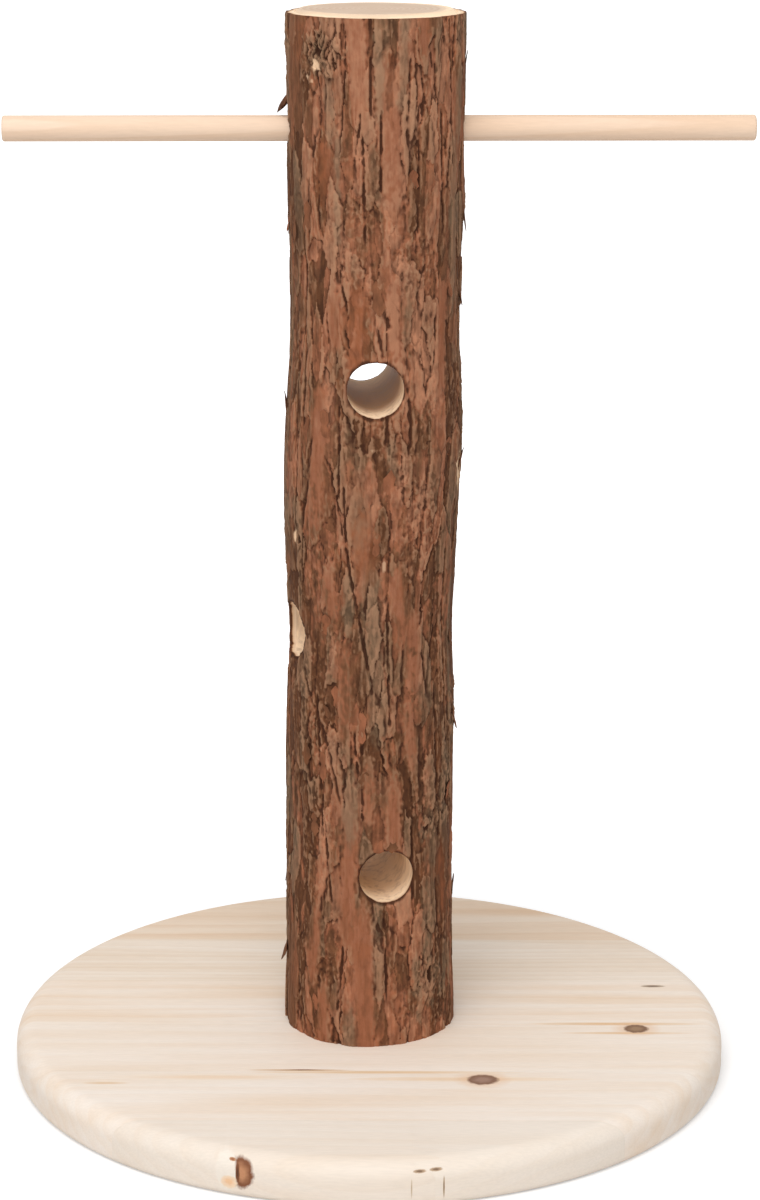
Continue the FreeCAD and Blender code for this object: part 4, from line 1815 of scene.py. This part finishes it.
@dataclass(frozen=True)
class BoredFinish(GrainFinish):
    """A sawn and bored log: a pale rim on the sawn top, and fresh wood in the bores, brightest at the front
    mouths as painted light.

    The bores high on the log are darker than the low ones, which is painted shade, and torn grain streaks
    them all. Distances are taken from the log's middle.
    """

    bored: str = "#EBCAA4"
    # Painted shade: the bores high on the log take this darker colour.
    high_bore_shade: str = "#C9A078"
    # Pale outer ring of the sawn top, and painted light at the front mouths of the bores.
    rim: str = "#FFE3C1"
    scar: float = 2.38
    top_height: float = 400.0
    high_shade_start: float = 150.0
    high_shade_end: float = 250.0
    rim_start: float = 26.0
    rim_end: float = 30.5
    mouth_start: float = 14.0
    mouth_end: float = 22.0
    back_start: float = 4.0
    back_end: float = 14.0

    def worked(self, node: Adder, spot: Socket, grain: Socket, far: Socket, wood: Socket) -> Socket:
        """Colour the bores by height and depth, with painted shade in the high ones and painted light at the
        front mouths, and the rim of the sawn top.

        Args:
            node: Function that adds a node.
            spot: Place on the object.
            grain: Place stretched along the grain.
            far: Distance from the pith.
            wood: Colour of plain wood.

        Returns:
            The colour with bores and rim.
        """
        place = node("SeparateXYZ", {0: spot})
        below = node("Math", {0: place["Z"], 1: self.top_height * MM}, operation="LESS_THAN")[0]
        scar = node("TexNoise", {"Vector": grain, "Scale": per_metre(self.scar), "Detail": 4.0})["Fac"]
        torn = node("MapRange", {0: scar, 1: 0.52, 2: 0.36, 3: 0.0, 4: 0.5})[0]
        torn = node("Math", {0: below, 1: torn}, operation="MULTIPLY")[0]
        # Painted shade: the bores turn darker between these heights.
        high_shade = node("MapRange", {0: place["Z"], 1: self.high_shade_start * MM, 2: self.high_shade_end * MM})[0]
        low, high = linear(self.bored), linear(self.high_bore_shade)
        inside = node("Mix", {0: high_shade, 6: low, 7: high}, data_type="RGBA")[2]
        # Painted light: near the mouths of the bores the wood takes the pale rim colour, fading out towards
        # the back so that only the front mouths light up. On the sawn top the same colour is its pale outer
        # ring.
        start = node("MapRange", {0: below, 3: self.rim_start * MM, 4: self.mouth_start * MM})[0]
        end = node("MapRange", {0: below, 3: self.rim_end * MM, 4: self.mouth_end * MM})[0]
        outer = node("MapRange", {0: far, 1: start, 2: end, 3: 0.0, 4: 0.95})[0]
        behind = node("MapRange", {
            0: place["Y"], 1: self.back_start * MM, 2: self.back_end * MM, 3: 0.0, 4: 0.85,
        })[0]
        behind = node("Math", {0: below, 1: behind}, operation="MULTIPLY")[0]
        front = node("Math", {0: 1.0, 1: behind}, operation="SUBTRACT")[0]
        outer = node("Math", {0: outer, 1: front}, operation="MULTIPLY")[0]
        for share, tint in ((below, inside), (outer, linear(self.rim)), (torn, linear(self.late))):
            wood = node("Mix", {0: share, 6: wood, 7: tint}, data_type="RGBA")[2]
        return wood


@dataclass(frozen=True)
class SteelFinish:
    """Zinc-plated steel, passivated yellow: the eye sees bright metal with a patchy tint."""

    name: str = "yellow_zinc_plated_steel"
    patch: float = 1.11
    tints: tuple = ((0.3, "#C9BC8E"), (0.7, "#B9B3A0"))

    def make(self) -> Material:
        """Tint the metal by a fine cloud.

        Returns:
            The material.
        """
        material, node = new_material(self.name)
        spot = node("TexCoord")["Object"]
        cloud = node("TexNoise", {"Vector": spot, "Scale": per_metre(self.patch)})["Fac"]
        tint = node("ValToRGB", {"Fac": cloud}, stops=self.tints)["Color"]
        shader = node("BsdfPrincipled", {"Base Color": tint, "Metallic": 1.0, "Roughness": 0.35})[0]
        node("OutputMaterial", {"Surface": shader})
        return material


SAWN_LOG = BoredFinish(
    "sawn_fir_log", (0.4, -1.7, 0.0), (0, 0, 1), 2.4, "#CFB8A2", "#BE9D80", 0.5, 0.3, 5.0,
    (Mark((0.4, -1.7, 430.0), (1.1, 1.1, 1.0), "#7A5236", "#B48A62", face=Face.ROUND),),
)
DOWEL = GrainFinish(
    "sanded_birch_dowel", (0.0, 30.0, 370.0), (1, 0, 0), 3.0, "#E6CBB3", "#D9B798", 0.35, 0.4,
)


@dataclass(frozen=True)
class StaveFinishes:
    """Planed fir for each stave of the board, each from another part of a tree, with its knots and streaks.

    A row is a stave's number and the ending of its name, its pith, the width of its rings, its early and
    late wood, the contrast of its rings and the strength of its streaks.
    """

    bend: float = 16.0
    margin: float = 6.0
    staves: tuple = (
        (1, "_left", (0.0, -330.0, 190.0), 5.0, "#E8DCCF", "#E0CCB7", 0.2, 0.35),
        (1, "_right", (0.0, -60.0, -210.0), 5.5, "#E8DCCF", "#E0CEBA", 0.15, 0.3),
        (2, "", (0.0, -230.0, 160.0), 5.0, "#EDE1D5", "#E3C9AD", 0.16, 0.5),
        (3, "", (0.0, -140.0, -190.0), 4.5, "#EEE1D4", "#E3CAAF", 0.16, 0.5),
        (4, "", (0.0, 120.0, -130.0), 4.0, "#EEE0D2", "#E2C4A3", 0.18, 0.6),
        (5, "", (0.0, 240.0, -90.0), 4.2, "#ECDECF", "#DDC4A8", 0.26, 0.6),
        (6, "", (0.0, 10.0, -180.0), 5.0, "#E9D6C2", "#D9B692", 0.28, 0.58),
        (7, "", (0.0, 260.0, 120.0), 4.6, "#E9D6C2", "#D9B692", 0.3, 0.6),
    )
    top_marks: tuple = (
        Mark((38.0, -66.5, 0.0), (46.0, 2.2, 1.0), "#E6CBAE", "#EAD6C0"),
        Mark((45.0, -67.0, 0.0), (6.2, 4.8, 1.0), "#9A7866", "#7F5C47", "#DFB48C"),
        Mark((100.0, -10.5, 0.0), (34.0, 1.6, 1.0), "#DDB68E", "#E4CBB0"),
        Mark((104.0, -20.0, 0.0), (26.0, 1.3, 1.0), "#E0BC96", "#E6CFB6"),
        Mark((109.0, -15.5, 0.0), (5.0, 4.1, 1.0), "#957557", "#7B5A42", "#DDB28A", 2.4),
        Mark((119.0, 30.0, 0.0), (5.0, 1.2, 1.0), "#7A6654", "#AF9880"),
        Mark((5.0, -60.0, 0.0), (52.0, 1.5, 1.0), "#E0C09C", "#E8D2BA"),
        Mark((-28.0, -58.0, 0.0), (20.0, 0.7, 1.0), "#B08966", "#D5B492"),
        Mark((-26.0, -57.8, 0.0), (8.0, 0.6, 1.0), "#744F37", "#B08A68"),
        Mark((-62.0, -65.0, 0.0), (44.0, 3.0, 1.0), "#E8D0B6", "#EBDAC8"),
        Mark((-104.0, -71.0, 0.0), (9.0, 1.2, 1.0), "#DDBE9C", "#E4CDB4"),
    )
    front_marks: tuple = (
        Mark((-48.0, 0.0, 10.2), (4.9, 1.0, 6.0), "#B9835E", "#7C4C30", face=Face.FRONT),
        Mark((-53.6, 0.0, 10.2), (4.2, 1.0, 7.6), "#EADFD2", "#EADFD2", face=Face.FRONT),
        Mark((-49.3, 0.0, 10.0), (0.8, 1.0, 4.2), "#55321F", "#7A4A2E", face=Face.FRONT),
        Mark((-52.6, 0.0, 6.0), (3.2, 1.0, 2.6), "#E8BD94", "#EACFB2", face=Face.FRONT),
        Mark((-51.2, 0.0, 14.8), (1.3, 1.0, 0.6), "#9A6242", "#B98A66", face=Face.FRONT),
        Mark((19.4, 0.0, 14.0), (2.5, 1.0, 0.65), "#7A614C", "#B79C80", face=Face.FRONT),
        Mark((25.6, 0.0, 14.3), (2.5, 1.0, 0.65), "#7A614C", "#B79C80", face=Face.FRONT),
        Mark((28.6, 0.0, 7.5), (0.35, 1.0, 4.5), "#8A7058", "#B79C80", face=Face.FRONT),
        Mark((16.4, 0.0, 7.5), (0.3, 1.0, 4.0), "#BBA288", "#D0BBA2", face=Face.FRONT),
    )

    def make(self, bounds: tuple) -> dict:
        """Give each stave the marks that lie on it, and the first one those of the board's front edge.

        Args:
            bounds: Front of each stave in turn, and the back of the last one.

        Returns:
            The materials by the staves' names.
        """
        made = {}
        for number, ending, pith, *wood in self.staves:
            front, back = bounds[number - 1] - self.margin, bounds[number] + self.margin
            marks = tuple(mark for mark in self.top_marks if front < mark.middle[1] < back)
            if number == 1:
                marks += self.front_marks
            name = f"stave_{number}{ending}"
            made[name] = GrainFinish(f"planed_fir_{name}", pith, (1, 0, 0), *wood, self.bend, marks).make()
        return made


# The studio


@dataclass(frozen=True)
class Lamp:
    """A soft square lamp: where it hangs, the point that it faces, the length of its side, its watts."""

    name: str
    place: tuple
    aim: tuple
    size: float
    power: float

    def hang(self) -> None:
        """Put the lamp into the scene and turn it to its aim."""
        data = bpy.data.lights.new(self.name, "AREA")
        data.size = self.size * MM
        data.energy = self.power
        thing = bpy.data.objects.new(self.name, data)
        bpy.context.scene.collection.objects.link(thing)
        thing.location = [part * MM for part in self.place]
        way = Vector(self.aim) - Vector(self.place)
        thing.rotation_euler = way.to_track_quat("-Z", "Y").to_euler()


@dataclass(frozen=True)
class Studio:
    """Pale floor, white surround, soft light from the upper left, and the camera of the photograph."""

    eye: tuple = (4.0, -1404.1, 608.1)
    pitch: float = 0.28559
    roll: float = 0.00236
    lens: float = 110.0
    sensor: float = 36.0
    world_light: float = 0.56
    floor_size: float = 12000.0
    floor_tints: tuple = ((0.0, "#DCDCDC"), (1.0, "#E2E2E2"))
    floor_mottle: float = 250.0
    glow_start: float = 140.0
    glow_end: float = 360.0
    glow_near: float = 0.28
    glow_far: float = 0.85
    lamps: tuple = (
        Lamp("key_lamp", (-260.0, -950.0, 2150.0), (0.0, 0.0, 150.0), 1400.0, 27.0),
        Lamp("front_lamp", (-250.0, -2200.0, 1000.0), (0.0, 0.0, 200.0), 1200.0, 13.4),
    )

    def build(self) -> None:
        """Set the view, the light and the floor."""
        bpy.context.scene.view_settings.view_transform = "Standard"
        self.camera()
        self.surround()
        self.floor()
        for lamp in self.lamps:
            lamp.hang()

    def camera(self) -> None:
        """Set up the camera: level across, pitched down, a long lens."""
        data = bpy.data.cameras.new("camera")
        data.sensor_fit = "AUTO"
        data.sensor_width = self.sensor
        data.lens = self.lens
        thing = bpy.data.objects.new("camera", data)
        bpy.context.scene.collection.objects.link(thing)
        thing.location = [part * MM for part in self.eye]
        tilt = Euler((0.5 * math.pi - self.pitch, 0.0, 0.0)).to_matrix()
        thing.rotation_euler = (tilt @ Euler((0.0, 0.0, self.roll)).to_matrix()).to_euler()
        bpy.context.scene.camera = thing

    def surround(self) -> None:
        """White world for the eye, and a soft even light for the object."""
        world = bpy.data.worlds.new("surround")
        bpy.context.scene.world = world
        world.use_nodes = True
        world.node_tree.nodes.clear()
        node = partial(add, world.node_tree)
        path = node("LightPath")
        seen = path["Is Camera Ray"]
        for other in ("Is Glossy Ray", "Is Transmission Ray"):
            seen = node("Math", {0: seen, 1: path[other]}, operation="MAXIMUM")[0]
        level = node("MapRange", {0: seen, 3: self.world_light, 4: 1.0})[0]
        light = node("Background", {"Color": WHITE, "Strength": level})[0]
        node("OutputWorld", {"Surface": light})

    def floor(self) -> None:
        """Lay a wide pale floor that keeps the object's shadow and fades to white round it."""
        half = 0.5 * self.floor_size
        corners = np.array([[-half, -half, 0.0], [half, -half, 0.0], [half, half, 0.0], [-half, half, 0.0]])
        mesh = new_mesh("floor", corners, [np.arange(4).reshape(1, 4)])
        thing = new_object("floor", mesh)
        material, node = new_material("pale_studio_floor")
        path = node("LightPath")
        spot = node("TexCoord")["Object"]
        mottle = node("TexNoise", {"Vector": spot, "Scale": per_metre(self.floor_mottle)})["Fac"]
        tint = node("ValToRGB", {"Fac": mottle}, stops=self.floor_tints)["Color"]
        matt = node("BsdfDiffuse", {"Color": tint})[0]
        seen = node("Math", {0: path["Is Camera Ray"], 1: path["Is Glossy Ray"]}, operation="MAXIMUM")[0]
        far = node("VectorMath", {0: spot}, operation="LENGTH")["Value"]
        glow = node("MapRange", {
            0: far, 1: self.glow_start * MM, 2: self.glow_end * MM, 3: self.glow_near, 4: self.glow_far,
        })[0]
        seen = node("Math", {0: seen, 1: glow}, operation="MULTIPLY")[0]
        lift = node("Emission", {"Color": WHITE, "Strength": seen})[0]
        both = node("AddShader", {0: matt, 1: lift})[0]
        node("OutputMaterial", {"Surface": both})
        mesh.materials.append(material)


def main() -> None:
    """Build every class in order and report its pieces."""
    logging.basicConfig(level=logging.INFO, format="%(name)s %(message)s")
    Studio().build()
    board = BaseBoard()
    log = LogShape(board.thickness)
    relief = BarkRelief(log)
    bark = BarkFinish(log.bark).make()
    BarkJacket(log, relief).build(bark)
    LooseFlakes(log, relief).build(bark)
    LogWood(log).build(SAWN_LOG.make())
    Perch(log).build(DOWEL.make())
    board.build(StaveFinishes().make(board.bounds))
    BaseScrews().dress(SteelFinish().make())


if __name__ == "__main__":
    main()
